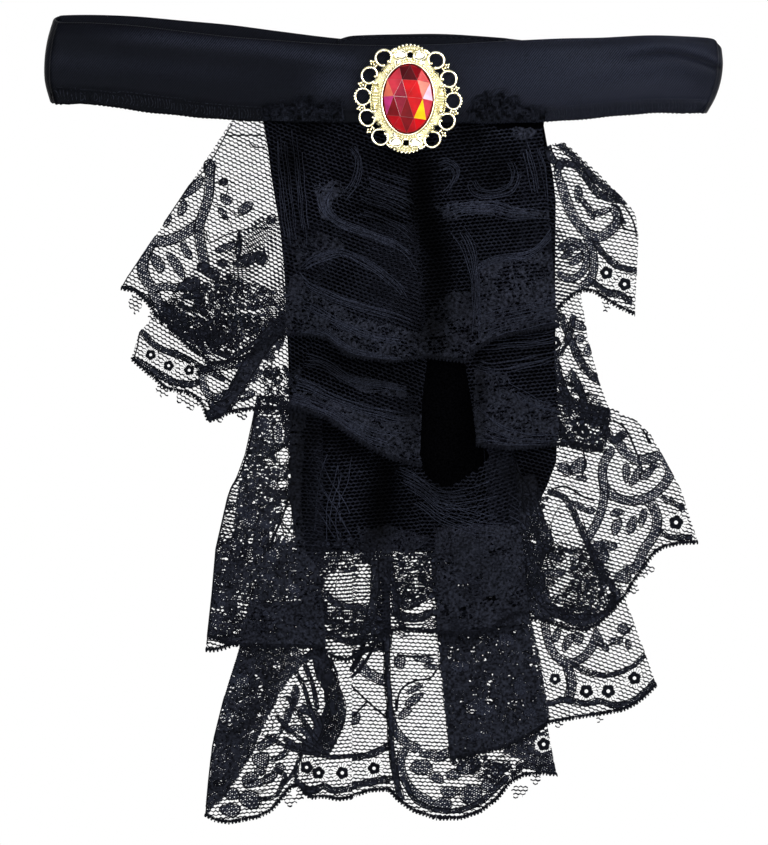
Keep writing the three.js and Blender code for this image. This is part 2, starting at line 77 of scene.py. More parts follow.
# ------------------------------------------------------------------ meshes from arrays
def build(name, verts, faces, material, smooth=False, body="root"):
    """A mesh from an array of points and a list of arrays of triangles or quads, without unused points."""
    faces = [np.asarray(f, np.int64) for f in faces if len(f)]
    used = np.unique(np.concatenate([f.ravel() for f in faces]))
    new = np.full(len(verts), -1, np.int64)
    new[used] = np.arange(len(used))
    points = np.asarray(verts, np.float32)[used]
    mesh = bpy.data.meshes.new(name)
    loops = np.concatenate([new[f].ravel() for f in faces]).astype(np.int32)
    counts = np.concatenate([np.full(len(f), f.shape[1]) for f in faces])
    starts = np.concatenate([[0], np.cumsum(counts)[:-1]]).astype(np.int32)
    mesh.vertices.add(len(points))
    mesh.vertices.foreach_set("co", points.ravel())
    mesh.loops.add(len(loops))
    mesh.loops.foreach_set("vertex_index", loops)
    mesh.polygons.add(len(starts))
    mesh.polygons.foreach_set("loop_start", starts)
    mesh.update(calc_edges=True)
    mesh.validate()
    if smooth:
        mesh.polygons.foreach_set("use_smooth", np.ones(len(mesh.polygons), bool))
    mesh.materials.append(material)
    o = bpy.data.objects.new(name, mesh)
    bpy.context.scene.collection.objects.link(o)
    if body:
        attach(o, body)
    return o


class Pile:
    """Collects points and faces for one mesh."""

    def __init__(self):
        self.v, self.t, self.q, self.n = [], [], [], 0

    def add(self, verts, tris=None, quads=None):
        self.v.append(np.asarray(verts, float).reshape(-1, 3))
        if tris is not None and len(tris):
            self.t.append(np.asarray(tris, np.int64) + self.n)
        if quads is not None and len(quads):
            self.q.append(np.asarray(quads, np.int64) + self.n)
        self.n += len(self.v[-1])

    def make(self, name, material, smooth=False):
        return build(name, np.concatenate(self.v), self.t + self.q, material, smooth)

    def triangles(self):
        return sum(len(t) for t in self.t) + 2 * sum(len(q) for q in self.q)


# ------------------------------------------------------------------ materials
def linear(c):
    return tuple(x / 12.92 if x <= 0.04045 else ((x + 0.055) / 1.055) ** 2.4 for x in c)


def material(name, color, rough=0.6, metal=0.0, spec=0.5, sheen=0.0, sheen_tint=(1, 1, 1), coat=0.0, alpha=1.0):
    m = bpy.data.materials.new(name)
    m.use_nodes = True
    b = m.node_tree.nodes["Principled BSDF"]
    b.inputs["Base Color"].default_value = (*color, 1)
    b.inputs["Roughness"].default_value = rough
    b.inputs["Metallic"].default_value = metal
    b.inputs["Specular IOR Level"].default_value = spec
    b.inputs["Sheen Weight"].default_value = sheen
    b.inputs["Sheen Roughness"].default_value = 0.4
    b.inputs["Sheen Tint"].default_value = (*sheen_tint, 1)
    b.inputs["Coat Weight"].default_value = coat
    return m, b


def add_noise(m, b, scale, low, high, bump=0.0, bump_dist=0.0002, detail=3.0, coords="Object"):
    """Varies the base colour between two colours, and bumps the surface, by a noise in object space."""
    t = m.node_tree
    co = t.nodes.new("ShaderNodeTexCoord")
    n = t.nodes.new("ShaderNodeTexNoise")
    n.inputs["Scale"].default_value = scale
    n.inputs["Detail"].default_value = detail
    t.links.new(co.outputs[coords], n.inputs["Vector"])
    r = t.nodes.new("ShaderNodeValToRGB")
    r.color_ramp.elements[0].position = 0.35
    r.color_ramp.elements[1].position = 0.68
    r.color_ramp.elements[0].color = (*low, 1)
    r.color_ramp.elements[1].color = (*high, 1)
    t.links.new(n.outputs["Fac"], r.inputs["Fac"])
    t.links.new(r.outputs["Color"], b.inputs["Base Color"])
    if bump:
        p = t.nodes.new("ShaderNodeBump")
        p.inputs["Strength"].default_value = bump
        p.inputs["Distance"].default_value = bump_dist
        t.links.new(n.outputs["Fac"], p.inputs["Height"])
        t.links.new(p.outputs["Normal"], b.inputs["Normal"])
    return n


net_m, b = material("net_thread", (0.004, 0.0045, 0.007), rough=0.8, spec=0.02)
add_noise(net_m, b, 900, (0.0020, 0.0022, 0.0035), (0.0070, 0.0080, 0.0125), bump=0.5)
fill_m, b = material("fill_thread", (0.008, 0.009, 0.014), rough=0.7, spec=0.03)
add_noise(fill_m, b, 1300, (0.0035, 0.0040, 0.0070), (0.0150, 0.0175, 0.0270), bump=0.9)
cord_m, b = material("cord_thread", (0.0020, 0.0022, 0.0034), rough=0.7, spec=0.02)
add_noise(cord_m, b, 1100, (0.0008, 0.0009, 0.0016), (0.0045, 0.0052, 0.0080), bump=0.5)
dense_m, b = material("dense_thread", (0.005, 0.0055, 0.008), rough=0.75, spec=0.02)
add_noise(dense_m, b, 1000, (0.0012, 0.0014, 0.0022), (0.0120, 0.0135, 0.0200), bump=0.8)
velvet_m, b = material("velvet_pile", (0.0005, 0.0005, 0.0007), rough=1.0, spec=0.0)
add_noise(velvet_m, b, 1500, (0.0002, 0.0002, 0.0003), (0.0009, 0.0009, 0.0012), bump=0.5)

# ------------------------------------------------------------------ how high each tier lies
LACE, LAYER, EASE = 1.0, 1.5, 0.5  # mm, as in the CAD source
CELL, REACH, MX, MY, NX, NY = 2.0, 5, -140.0, -165.0, 141, 166
heights = np.zeros((NY, NX))


def plan(x, y):
    """Squares to the millimetres of the CAD source before it is centred."""
    return (np.asarray(x, float) - 383) * 0.365, (419 - np.asarray(y, float)) * 0.365


def pile_up(grid, thickness):
    """Adds a grid of points (columns, rows, 3) in mm to the map of the highest points."""
    a, b, c, d = grid[:-1, :-1], grid[1:, :-1], grid[1:, 1:], grid[:-1, 1:]
    reach = max(np.linalg.norm(b - a, axis=-1).max(), np.linalg.norm(d - a, axis=-1).max())
    n = max(2, int(math.ceil(reach / 0.8)))
    f = np.linspace(0, 1, n + 1)
    ff, gg = np.meshgrid(f, f, indexing="ij")
    ff, gg = ff.ravel()[:, None], gg.ravel()[:, None]
    for i in range(a.shape[0]):
        for j in range(a.shape[1]):
            p = mix(mix(a[i, j], b[i, j], ff), mix(d[i, j], c[i, j], ff), gg)
            ci = np.rint((p[:, 0] - MX) / CELL).astype(int)
            cj = np.rint((p[:, 1] - MY) / CELL).astype(int)
            ok = (ci >= 0) & (ci < NX) & (cj >= 0) & (cj < NY)
            np.maximum.at(heights, (cj[ok], ci[ok]), p[ok, 2] + thickness / 2)


def spread():
    m = heights.copy()
    for work in (np.max, np.mean):
        for axis in (1, 0):
            pad = [(0, 0), (0, 0)]
            pad[axis] = (REACH, REACH)
            w = np.lib.stride_tricks.sliding_window_view(np.pad(m, pad, mode="edge"), 2 * REACH + 1, axis=axis)
            m = work(w, axis=-1)

    def look(x, y):
        u = np.clip((x - MX) / CELL, 0, NX - 1.001)
        v = np.clip((y - MY) / CELL, 0, NY - 1.001)
        i, j = np.floor(u).astype(int), np.floor(v).astype(int)
        f, g = u - i, v - j
        return mix(mix(m[j, i], m[j, i + 1], f), mix(m[j + 1, i], m[j + 1, i + 1], f), g)

    return look


# ------------------------------------------------------------------ lace chart
REPEAT, SCALLOP, DEEP, SAG = 236.0, 58.0, 26.0, 8.0


def hem_line(s):
    d = np.abs(np.mod(s + REPEAT / 2, REPEAT) - REPEAT / 2)
    return np.where(d < SCALLOP, DEEP * (1 - np.cos(np.pi * d / SCALLOP)) / 2,
                    DEEP - SAG * np.sin(np.pi / 2 * (d - SCALLOP) / (REPEAT / 2 - SCALLOP)))


def arc(cx, cy, r, a0, a1, n=20):
    t = np.radians(np.linspace(a0, a1, n))
    return np.stack([cx + r * np.cos(t), cy + r * np.sin(t)], 1)


def bend(points, n=6):
    """A smooth line through the points (Catmull-Rom)."""
    p = np.asarray(points, float)
    q = np.concatenate([[2 * p[0] - p[1]], p, [2 * p[-1] - p[-2]]])
    out = []
    for i in range(len(p) - 1):
        a, b, c, d = q[i], q[i + 1], q[i + 2], q[i + 3]
        for t in np.arange(n) / n:
            out.append(0.5 * (2 * b + (c - a) * t + (2 * a - 5 * b + 4 * c - d) * t * t + (3 * b - a - 3 * c + d) * t ** 3))
    out.append(p[-1])
    return np.array(out)


RING2, RING1 = (39, 62), (66, 111)
# bands of the pattern's right half: centre line, half width
BANDS = [
    (bend([(46, 176), (40, 160), (35, 143), (31, 128), (24, 110), (14, 93), (5, 80)]), 4.4),      # stem
    (arc(*RING1, 29, 172, 372, 34), 4.7),                                                          # upper ring
    (bend([(37, 152), (45, 143), (55, 137), (68, 135), (80, 138), (89, 146), (95, 154)]), 4.4),    # its upper band
    (bend([(95, 117), (97, 130), (95, 143)]), 3.6),
    (arc(*RING2, 29, 48, -158, 34), 4.4),                                                          # lower ring
    (bend([(66, 80), (74, 76), (87, 67), (101, 59), (118, 56)]), 3.0),                             # garland's upper edge
    (bend([(66, 43), (72, 37), (80, 34), (88, 37), (93, 41), (99, 36), (106, 33), (113, 35), (118, 38)]), 2.6),
]
# petals and leaves: centre, half length, half width, tilt in degrees
PETALS = [(0, 15, 9.5, 5.6, 0), (19, 17, 8, 5.8, 20), (33, 24, 7.5, 5.6, 40), (46, 31, 6.5, 5.0, 50), (9, 33, 6.5, 6, 30),
          (17, 46, 6.8, 5.4, -20), (0, 50, 5.5, 5.5, 0), (12, 62, 6.5, 5, -40), (25, 35, 4.5, 4.5, 0)]
LEAVES = [(58, 113, 9, 3.2, 68), (69, 109, 10.5, 3.6, 50), (79, 118, 8, 3.2, 45), (31, 66, 10.5, 3.6, 52), (45, 62, 9.5, 3.5, 50),
          (23, 75, 6.5, 2.6, 40), (9, 146, 6.5, 4.6, 28), (20, 155, 5, 4, 70), (20, 139, 6, 3, -60), (12, 106, 8, 3, -50),
          (108, 118, 7, 3.6, 30), (118, 134, 5.5, 4.5, 90), (104, 140, 6.5, 3.2, -40), (112, 96, 7, 3, 35)]
FLOWERS = [(74, 47), (96, 43), (118, 43)]
THIN = [bend([(19, 101), (4, 118), (-14, 127), (-33, 135)]), bend([(-6, 140), (6, 138), (14, 145), (22, 149), (33, 147)]),
        bend([(20, 149), (19, 158), (22, 166)]), bend([(92, 108), (100, 112), (108, 118), (118, 122)]),
        bend([(97, 126), (104, 130), (112, 128), (118, 130)]), bend([(100, 62), (106, 80), (112, 96)]),
        bend([(0, 5), (0, 10)])]


def seg_dist(px, py, line):
    """Distance from points to a polyline, nearest first."""
    best = np.full(px.shape, 1e9)
    for (ax, ay), (bx, by) in zip(line[:-1], line[1:]):
        dx, dy = bx - ax, by - ay
        t = np.clip(((px - ax) * dx + (py - ay) * dy) / max(dx * dx + dy * dy, 1e-9), 0, 1)
        best = np.minimum(best, (px - ax - t * dx) ** 2 + (py - ay - t * dy) ** 2)
    return np.sqrt(best)


def half(s):
    return np.abs(np.mod(s + REPEAT / 2, REPEAT) - REPEAT / 2)


def in_ellipse(a, t, e, grow=0.0):
    cx, cy, ra, rb, tilt = e
    c, n = math.cos(math.radians(tilt)), math.sin(math.radians(tilt))
    out = np.zeros(a.shape, bool)
    for sign in (1, -1):
        x, y = a - sign * cx, t - cy
        u, w = (x * c + sign * y * n), (-sign * x * n + y * c)
        out |= (u / (ra + grow)) ** 2 + (w / (rb + grow)) ** 2 < 1
    return out


TABLE_STEP = 0.5


def make_tables():
    """The chart's fill and its openings on a fine table, so that many points can be looked up."""
    a, t = np.meshgrid(np.arange(0, 118.01 + 1, TABLE_STEP), np.arange(-12, 190, TABLE_STEP), indexing="ij")
    fill = np.zeros(a.shape, bool)
    for line, w in BANDS:
        fill |= seg_dist(a, t, line) < w
    for e in PETALS + LEAVES:
        fill |= in_ellipse(a, t, e)
    bare = np.zeros(a.shape, bool)
    for cx, cy in FLOWERS:
        r = np.hypot(a - cx, t - cy)
        bare |= r < 10.5
    return fill, bare


FILL, BARE = make_tables()


def look(table, s, t):
    i = np.clip(np.rint(half(s) / TABLE_STEP).astype(int), 0, table.shape[0] - 1)
    j = np.clip(np.rint((t + 12) / TABLE_STEP).astype(int), 0, table.shape[1] - 1)
    return table[i, j]


def outlines():
    """Every cord of one repeat: closed or open lines in (s, t), with half width in squares."""
    out = []
    for line, w in BANDS:
        d = np.gradient(line, axis=0)
        n = np.stack([-d[:, 1], d[:, 0]], 1) / np.maximum(np.linalg.norm(d, axis=1), 1e-9)[:, None]
        for side in (1, -1):
            out.append((line + side * w * n, 0.72))
    for e in PETALS:
        t = np.linspace(0, 2 * np.pi, 17)
        c, n = math.cos(math.radians(e[4])), math.sin(math.radians(e[4]))
        x, y = e[2] * np.cos(t), e[3] * np.sin(t)
        out.append((np.stack([e[0] + x * c - y * n, e[1] + x * n + y * c], 1), 0.5))
    for line in THIN:
        out.append((line, 0.62))
    both = []
    for line, w in out:
        both.append((line, w))
        both.append((line * [-1, 1], w))
    return both


CORDS = outlines()

# ------------------------------------------------------------------ tiers
# fold lines: xt, yt, xh, yh, layer left, layer right, up, mid, turn, s, chart (x, y, s, t, degrees)
N = None
TIERS = {
    "4": dict(step=24, rows=7, bulge={1: [(212, 746), (223.5, 700), (237, 657), (244, 632)]}, folds=[
        (322, 540, 217, 821, 0, 0, 0, 0, 0, -41, N), (262, 540, 204, 823, 1, 1, 0, 0, 1, -28, (231, 824, 0, 0, -7.5)),
        (300, 540, 258, 824, 1, 2, .6, 1.6, 0, N, (231, 824, 0, 0, -7.5)), (345, 540, 313, 820, 1, 1, 0, 0, 1, N, N),
        (306, 540, 300, 820, 0, 0, 0, 0, 1, N, (300, 820, 94, 0, 0)), (352, 540, 352, 818, 0, 0, .5, 1.5, 0, N, (300, 820, 94, 0, 0)),
        (390, 540, 400, 816, 1, 1, 0, 0, 1, N, N), (379, 540, 394, 816, 2, 0, 0, 0, 1, -60, (456, 820, 0, 0, 3)),
        (440, 540, 468, 823, 0, 0, .8, 2, 0, N, (516, 778, 58, 26, -15)), (512, 540, 559, 786, 1, 1, 0, 0, 1, N, N),
        (424, 540, 450, 757, 2, .5, 0, 0, 1, N, N), (560, 540, 570, 722, .5, 0, .3, .6, 0, N, N),
        (604, 540, 660, 694, 0, 0, 0, 0, 0, N, N)]),
    "3": dict(step=22, rows=8, gap=[(424, 360), (467, 360), (472, 400), (477, 436), (486, 452), (478, 472), (462, 478), (447, 488), (430, 478), (419, 462), (420, 420)],
        bulge={1: [(212, 595), (216, 549), (229, 492), (237, 476), (245, 454), (252, 422)]}, folds=[
        (276, 395, 262, 664, 0, 0, 0, 0, 0, -60, N), (257, 395, 206, 650, 1, 1, 0, 0, 1, 60, N),
        (285, 395, 262, 666, 1, 2, .5, 1.5, 0, N, N), (322, 395, 326, 660, 1, 1, 0, 0, 1, N, N),
        (300, 395, 296, 660, 0, 0, 0, 0, 1, -50, N), (335, 395, 346, 660, 0, 0, .8, 5, 0, N, N),
        (376, 395, 388, 656, 0, 2, 0, -.2, 0, N, N), (404, 395, 434, 652, 2, 2, .5, 3, 0, N, N),
        (470, 395, 486, 652, 2, 2, 1, 5, 0, N, N), (508, 395, 531, 636, 1, 1, 0, 0, 1, N, N),
        (480, 395, 497, 630, 0, 0, 0, 0, 1, -124, N), (548, 395, 610, 616, 0, 0, .4, 1.6, 0, -10, (654.5, 553, 58, 26, -27)),
        (590, 398, 700, 547, 0, 0, 0, 0, 0, N, N)],
        right=[(681, 489), (662, 454), (651, 435), (638, 422), (615, 410)]),
    "2_left": dict(step=22, rows=7, folds=[
        (262, 216, 119, 380, 0, 0, 0, 0, 0, 98, (169.4, 365.8, 118, 41, 21)), (360, 222, 214, 428, 1, 1, 0, 0, 1, N, N),
        (330, 222, 201, 420, 2, 1, 0, 0, 1, N, N), (352, 222, 286, 416, 1, 0, .5, 1, 0, N, N),
        (385, 222, 350, 444, 0, 0, 1.5, 4, 0, N, N), (418, 222, 423, 478, 0, 0, 0, .5, 0, N, N)],
        left=[(133, 352), (138, 334), (148, 322), (200, 260)], right=[(420, 448), (422, 400), (427, 362), (427, 330)]),
    "2_right": dict(step=22, rows=7, folds=[
        (468, 222, 476, 462, 0, 0, 0, .5, 0, -20, (579.8, 424.4, 96, 42, 3)), (512, 222, 520, 462, 0, 0, 1.5, 4, 0, N, (579.8, 424.4, 96, 42, 3)),
        (545, 222, 562, 462, 0, 0, 0, .6, 0, N, (579.8, 424.4, 96, 42, 3)), (566, 232, 603, 466, 0, 0, 0, 0, 0, N, N)],
        right=[(611, 412), (599, 380), (588, 339), (583, 305)], left=[(476, 435), (471, 400), (465, 362), (466, 330)]),
    "1": dict(step=20, rows=8, sewn=(10.4, .62), folds=[
        (236, 115, 109, 304, 0, 0, 0, 0, 0, -75, (172, 262, -39, 62, 25)), (262, 114, 212, 371, 0, 0, .4, .8, 0, N, (172, 262, -39, 62, 25)),
        (276, 113, 287, 350, 0, 0, 0, .4, 0, N, N), (316, 112, 340, 366, 0, 0, 1.6, 4.6, 0, N, N),
        (362, 112, 384, 376, 0, 0, 1.2, 3.4, 0, N, N), (408, 112, 424, 376, 0, 0, 0, 0, 0, N, N),
        (446, 113, 462, 374, 0, 0, 1.2, 3.8, 0, N, N), (496, 127, 506, 364, 0, 2, 1.6, 4.6, 0, N, N),
        (542, 129, 559, 342, 1, 1, 0, 0, 1, N, N), (522, 129, 511, 322, 0, 0, 0, 0, 1, -21, (586.5, 291.5, 58, 26, 7)),
        (534, 129, 580, 318, 0, 0, .3, .6, 0, N, (586.5, 291.5, 58, 26, 7)), (545, 129, 635, 317, 0, 0, 0, 0, 0, N, N)],
        right=[(639, 238), (636, 214), (625, 200), (599, 174), (572, 150)]),
}


# ------------------------------------------------------------------ parts of the pattern drawn in the plan
# Each drawing has its corner in squares and its units to the square. bands: line and half width; leaves, solid and
# open: x, y, half length, half width, tilt clockwise; areas: outlines of close embroidery; crowd: outlines filled
# with small petals; swags: two lines, how many threads lie between them; cords: line and half width; flowers: x, y, radius; fringe: x, y, radius of threads past the hem.
DRAWN = {
    "1": [dict(panels=(0, 1), at=(110, 118), unit=5.344, net=-26, hem=[(59, 908), (128, 922), (182, 967), (214, 1005), (246, 1058), (305, 1095),
                (345, 1150), (417, 1224), (480, 1265), (550, 1320), (600, 1310), (700, 1290), (800, 1230), (880, 1170), (935, 1143)],
        bands=[([(535, 240), (532, 330), (525, 420), (500, 500), (478, 570), (478, 640), (492, 720), (505, 790)], 25),
               ([(478, 560), (430, 595), (360, 635), (290, 655), (225, 655)], 27), ([(222, 660), (185, 730), (172, 800), (185, 850), (215, 900)], 28),
               ([(225, 915), (290, 900), (345, 905), (395, 895)], 20), ([(230, 925), (255, 985), (290, 1025), (330, 1050)], 27)],
        leaves=[(437, 372, 85, 25, -41), (530, 265, 32, 42, 0), (385, 480, 22, 45, 20), (305, 545, 18, 35, 25), (250, 770, 60, 28, 55),
                (352, 785, 85, 25, 57), (405, 705, 55, 20, 60), (620, 435, 35, 25, 35), (725, 482, 45, 26, -35), (605, 510, 38, 14, 55),
                (625, 690, 65, 20, -20), (690, 690, 12, 60, 10)],
        solid=[(608, 340, 24, 20, 0), (500, 800, 35, 30, 0), (425, 890, 65, 36, -20), (545, 830, 50, 30, 10), (600, 775, 30, 20, 0),
               (735, 758, 80, 30, -20), (810, 750, 35, 35, 0), (320, 1030, 50, 30, 30), (375, 1080, 50, 40, 30), (470, 950, 45, 30, 60),
               (480, 1010, 50, 26, 60), (355, 1150, 40, 30, 30), (430, 1180, 40, 25, 30), (510, 1150, 50, 30, 20), (600, 1180, 50, 28, -10),
               (860, 545, 25, 25, 0)],
        crowd=[[(430, 930), (560, 840), (700, 850), (880, 930), (900, 1000), (870, 1100), (740, 1210), (560, 1290), (460, 1230), (330, 1120),
                (250, 1010), (330, 960)]],
        dark_bands=[([(550, 1245), (640, 1275), (720, 1240), (800, 1180), (860, 1110)], 13), ([(62, 905), (110, 905), (150, 930), (200, 965), (250, 1010)], 8)],
        cords=[([(560, 460), (620, 480), (680, 520), (720, 515), (760, 490), (835, 515)], 3), ([(565, 340), (600, 340)], 3), ([(632, 360), (622, 410)], 3),
               ([(515, 600), (520, 645), (542, 665), (620, 625), (700, 600), (780, 588), (850, 592)], 3.4), ([(650, 590), (640, 550), (610, 520)], 2.5),
               ([(615, 95), (830, 95)], 3.5), ([(740, 120), (770, 155), (830, 160)], 4), ([(690, 600), (700, 700), (680, 760)], 6),
               ([(655, 30), (535, 235), (370, 430), (225, 620), (60, 905)], 3)],
        fringe=[(140, 990, 60), (230, 1060, 35)]),
        dict(panels=(2, 3, 4), at=(260, 105), unit=3.0, net=-20, holes=1.02, hem=[(-200, 690), (85, 690), (140, 690), (200, 700), (260, 750), (330, 762), (400, 770), (490, 755), (540, 760), (700, 765)],
        areas=[[(60, 560), (110, 500), (150, 540), (220, 590), (300, 640), (400, 660), (500, 690), (500, 780), (400, 780), (260, 760), (200, 710), (60, 700)],
               [(90, 400), (180, 380), (260, 420), (240, 450), (140, 480), (100, 500)], [(160, 240), (230, 220), (260, 260), (220, 300), (210, 350), (180, 340)]],
        swags=[([(190, 230), (170, 280), (190, 330), (240, 370), (330, 400), (420, 440), (470, 500)], [(250, 240), (215, 290), (225, 330), (270, 355), (350, 385), (430, 420), (480, 470)], 9),
               ([(110, 490), (150, 530), (210, 560), (290, 590), (400, 620), (480, 650)], [(120, 520), (150, 555), (210, 585), (290, 615), (400, 645), (480, 670)], 6),
               ([(85, 570), (160, 600), (230, 640), (320, 680), (420, 700), (490, 700)], [(85, 600), (160, 625), (230, 665), (320, 700), (420, 720), (490, 725)], 6),
               ([(85, 650), (180, 665), (240, 705), (300, 735), (400, 752), (490, 748)], [(85, 680), (180, 690), (240, 725), (300, 750), (400, 765), (490, 756)], 6),
               ([(120, 480), (160, 450), (240, 430), (330, 465), (420, 530), (460, 600)], [(130, 500), (170, 478), (250, 455), (320, 490), (400, 550), (440, 610)], 6),
               ([(250, 120), (285, 165), (275, 225), (240, 270)], [(275, 110), (305, 160), (300, 230), (260, 290)], 5),
               ([(300, 180), (360, 200), (420, 220), (470, 230)], [(290, 330), (350, 350), (420, 380), (460, 420)], 12),
               ([(30, 70), (45, 200), (65, 330), (80, 430)], [(120, 80), (130, 200), (140, 330), (150, 420)], 10)]),
        dict(panels=(5, 6, 7, 8), at=(260, 105), unit=3.0, net=6, holes=1.02, hem=[(300, 770), (490, 755), (540, 760), (620, 770), (640, 740), (700, 700), (800, 680), (900, 660), (1000, 650), (1100, 640)],
        areas=[[(640, 490), (700, 460), (800, 455), (890, 430), (960, 430), (960, 660), (800, 690), (700, 710), (640, 750), (620, 600)], [(740, 60), (800, 45), (835, 85), (770, 115)],
               [(520, 300), (600, 292), (700, 285), (780, 310), (880, 320), (880, 340), (760, 332), (640, 330), (560, 350)], [(480, 690), (520, 600), (580, 560), (650, 560), (660, 780), (480, 780)]],
        swags=[([(520, 310), (600, 295), (700, 290), (770, 310), (880, 320)], [(560, 355), (610, 330), (690, 330), (760, 345), (880, 350)], 8),
               ([(640, 490), (700, 455), (800, 440), (860, 390), (895, 330)], [(645, 510), (710, 475), (810, 460), (870, 410), (905, 350)], 6),
               ([(560, 360), (600, 420), (630, 500), (640, 600), (640, 700)], [(600, 350), (640, 410), (655, 500), (660, 600), (665, 700)], 6),
               ([(640, 640), (720, 620), (820, 600), (930, 570)], [(650, 740), (720, 700), (820, 675), (930, 650)], 9),
               ([(520, 170), (560, 160), (600, 200), (560, 280)], [(540, 200), (570, 190), (580, 220), (545, 270)], 5), ([(830, 120), (860, 200), (875, 300)], [(780, 110), (800, 200), (820, 290)], 7),
               ([(620, 230), (640, 270), (700, 280), (760, 260), (780, 200), (750, 140)], [(640, 220), (660, 250), (700, 258), (745, 240), (755, 200), (735, 160)], 6)]),
        dict(panels=(9, 10), at=(540, 120), unit=3.0, net=-10, hem=[(-100, 640), (20, 600), (50, 575), (70, 550), (100, 524), (135, 509), (165, 515), (200, 538), (240, 562), (282, 580), (330, 592)],
        bands=[([(62, 185), (75, 230), (100, 290), (140, 338), (180, 350), (215, 328), (236, 298), (225, 262)], 14), ([(60, 185), (52, 155), (62, 125)], 10),
               ([(60, 385), (95, 362), (130, 385), (140, 425), (122, 462), (85, 478), (58, 462)], 10), ([(140, 350), (158, 395), (162, 445), (148, 482), (120, 505)], 12)],
        dark_bands=[([(-10, 10), (40, 60), (100, 112), (150, 160), (200, 205), (255, 242)], 10), ([(62, 128), (112, 142), (150, 190), (185, 226), (255, 243)], 11),
                    ([(165, 368), (200, 410), (240, 440), (292, 452)], 10), ([(150, 480), (180, 502), (210, 520), (240, 522), (272, 545)], 10), ([(20, 60), (30, 110), (60, 140)], 12)],
        leaves=[(115, 220, 12, 25, 0), (150, 272, 30, 10, 60), (185, 275, 32, 9, -15), (135, 250, 26, 8, 50), (100, 382, 32, 12, -30), (110, 418, 28, 12, -40), (80, 405, 20, 10, -30),
                (240, 300, 20, 8, 20)],
        flowers=[(200, 458, 20), (255, 492, 20)], cords=[([(215, 250), (240, 270), (250, 320), (290, 335)], 3), ([(250, 250), (280, 300), (292, 350)], 2.5)], fringe=[(200, 560, 20)])],
    "2_left": [dict(panels=(0, 1, 2), at=(120, 318), unit=7.778, net=-30, hem=[(98, 325), (150, 372), (215, 430), (290, 490), (350, 545), (430, 565),
                (520, 580), (590, 615), (640, 680), (665, 740), (690, 800), (760, 775), (850, 735), (950, 715), (1073, 705), (1306, 700)],
        bands=[([(640, 430), (640, 500), (670, 570), (720, 610), (790, 615), (830, 590)], 28), ([(690, 620), (720, 680), (770, 710)], 24),
               ([(680, 380), (760, 370), (850, 360), (960, 340)], 36)],
        dark_bands=[([(150, 100), (190, 130), (230, 180), (300, 230), (380, 265), (460, 290), (540, 330), (620, 380), (700, 420), (800, 470)], 26),
                    ([(105, 320), (180, 365), (250, 400), (300, 440), (360, 470), (420, 500), (500, 510), (560, 515), (610, 495)], 26),
                    ([(600, 440), (640, 400), (700, 380)], 14), ([(700, 790), (850, 640), (960, 450), (1080, 260), (1230, 60)], 62)],
        leaves=[(1010, 590, 45, 30, -20)], solid=[(970, 630, 60, 12, -15), (820, 580, 26, 22, 0), (1190, 430, 60, 40, -30)],
        areas=[[(690, 805), (860, 600), (990, 330), (1120, 110), (1250, -60), (1330, -60), (1280, 200), (1180, 370), (1000, 560), (880, 680), (760, 775)]],
        crowd=[[(280, 0), (700, 0), (1100, 0), (1080, 90), (900, 230), (760, 240), (600, 210), (400, 110)], [(1130, 380), (1400, 380), (1400, 600), (1150, 600), (1090, 480)]],
        flowers=[(235, 285, 42), (375, 370, 42), (535, 405, 42)], cords=[([(150, 100), (135, 200), (105, 320)], 5), ([(760, 420), (830, 470), (900, 510)], 5), ([(850, 560), (930, 420)], 5)],
        fringe=[(320, 560, 70), (560, 650, 75), (480, 620, 60), (950, 740, 60), (780, 790, 40)]),
        dict(panels=(3, 4), at=(260, 105), unit=3.0, net=-22, holes=1.02, hem=[(-200, 860), (0, 870), (80, 900), (200, 940), (300, 1010), (390, 1060), (480, 1080), (600, 1100)],
        areas=[[(-100, 800), (80, 835), (250, 895), (340, 930), (520, 930), (520, 1110), (390, 1070), (300, 1020), (200, 950), (80, 910), (-100, 880)], [(200, 800), (300, 815), (440, 840), (440, 880), (300, 860)]],
        swags=[([(60, 740), (180, 755), (280, 815), (380, 830), (480, 860)], [(60, 770), (180, 790), (280, 845), (380, 860), (480, 890)], 6),
               ([(0, 800), (120, 820), (250, 880), (380, 915), (480, 930)], [(0, 840), (120, 850), (250, 905), (380, 945), (480, 960)], 6),
               ([(0, 850), (120, 870), (240, 920), (330, 970), (450, 990)], [(0, 870), (100, 895), (210, 935), (310, 1005), (450, 1050)], 8)])],
    "2_right": [dict(panels=(2,), at=(540, 120), unit=3.0, net=-12, hem=[(-200, 1002), (0, 985), (60, 975), (110, 972), (160, 985), (200, 1000), (260, 1004)],
        dark_bands=[([(60, 585), (90, 650), (120, 720), (150, 760), (185, 785)], 13), ([(100, 590), (90, 640), (60, 700)], 10), ([(-10, 770), (50, 830), (120, 860), (220, 880)], 13),
                    ([(95, 760), (125, 820), (140, 880)], 12), ([(40, 700), (60, 780), (90, 850)], 14)],
        crowd=[[(-20, 780), (60, 760), (130, 800), (200, 860), (230, 990), (-20, 1000)]], leaves=[(115, 615, 26, 14, 30), (120, 655, 16, 12, 0), (145, 690, 12, 22, 20)],
        flowers=[(45, 668, 20), (60, 930, 20), (130, 935, 20)]),
        dict(panels=(0, 1), at=(260, 105), unit=3.0, net=6, holes=1.02, hem=[(500, 1000), (650, 1020), (750, 1030), (890, 1020), (1000, 1000), (1100, 990)],
        areas=[[(640, 790), (740, 800), (770, 860), (900, 910), (900, 1040), (640, 1040)]],
        swags=[([(640, 790), (700, 805), (800, 790), (900, 760)], [(650, 760), (700, 775), (790, 760), (900, 735)], 5), ([(740, 830), (790, 860), (850, 890), (910, 900)], [(735, 850), (785, 885), (850, 915), (910, 925)], 4),
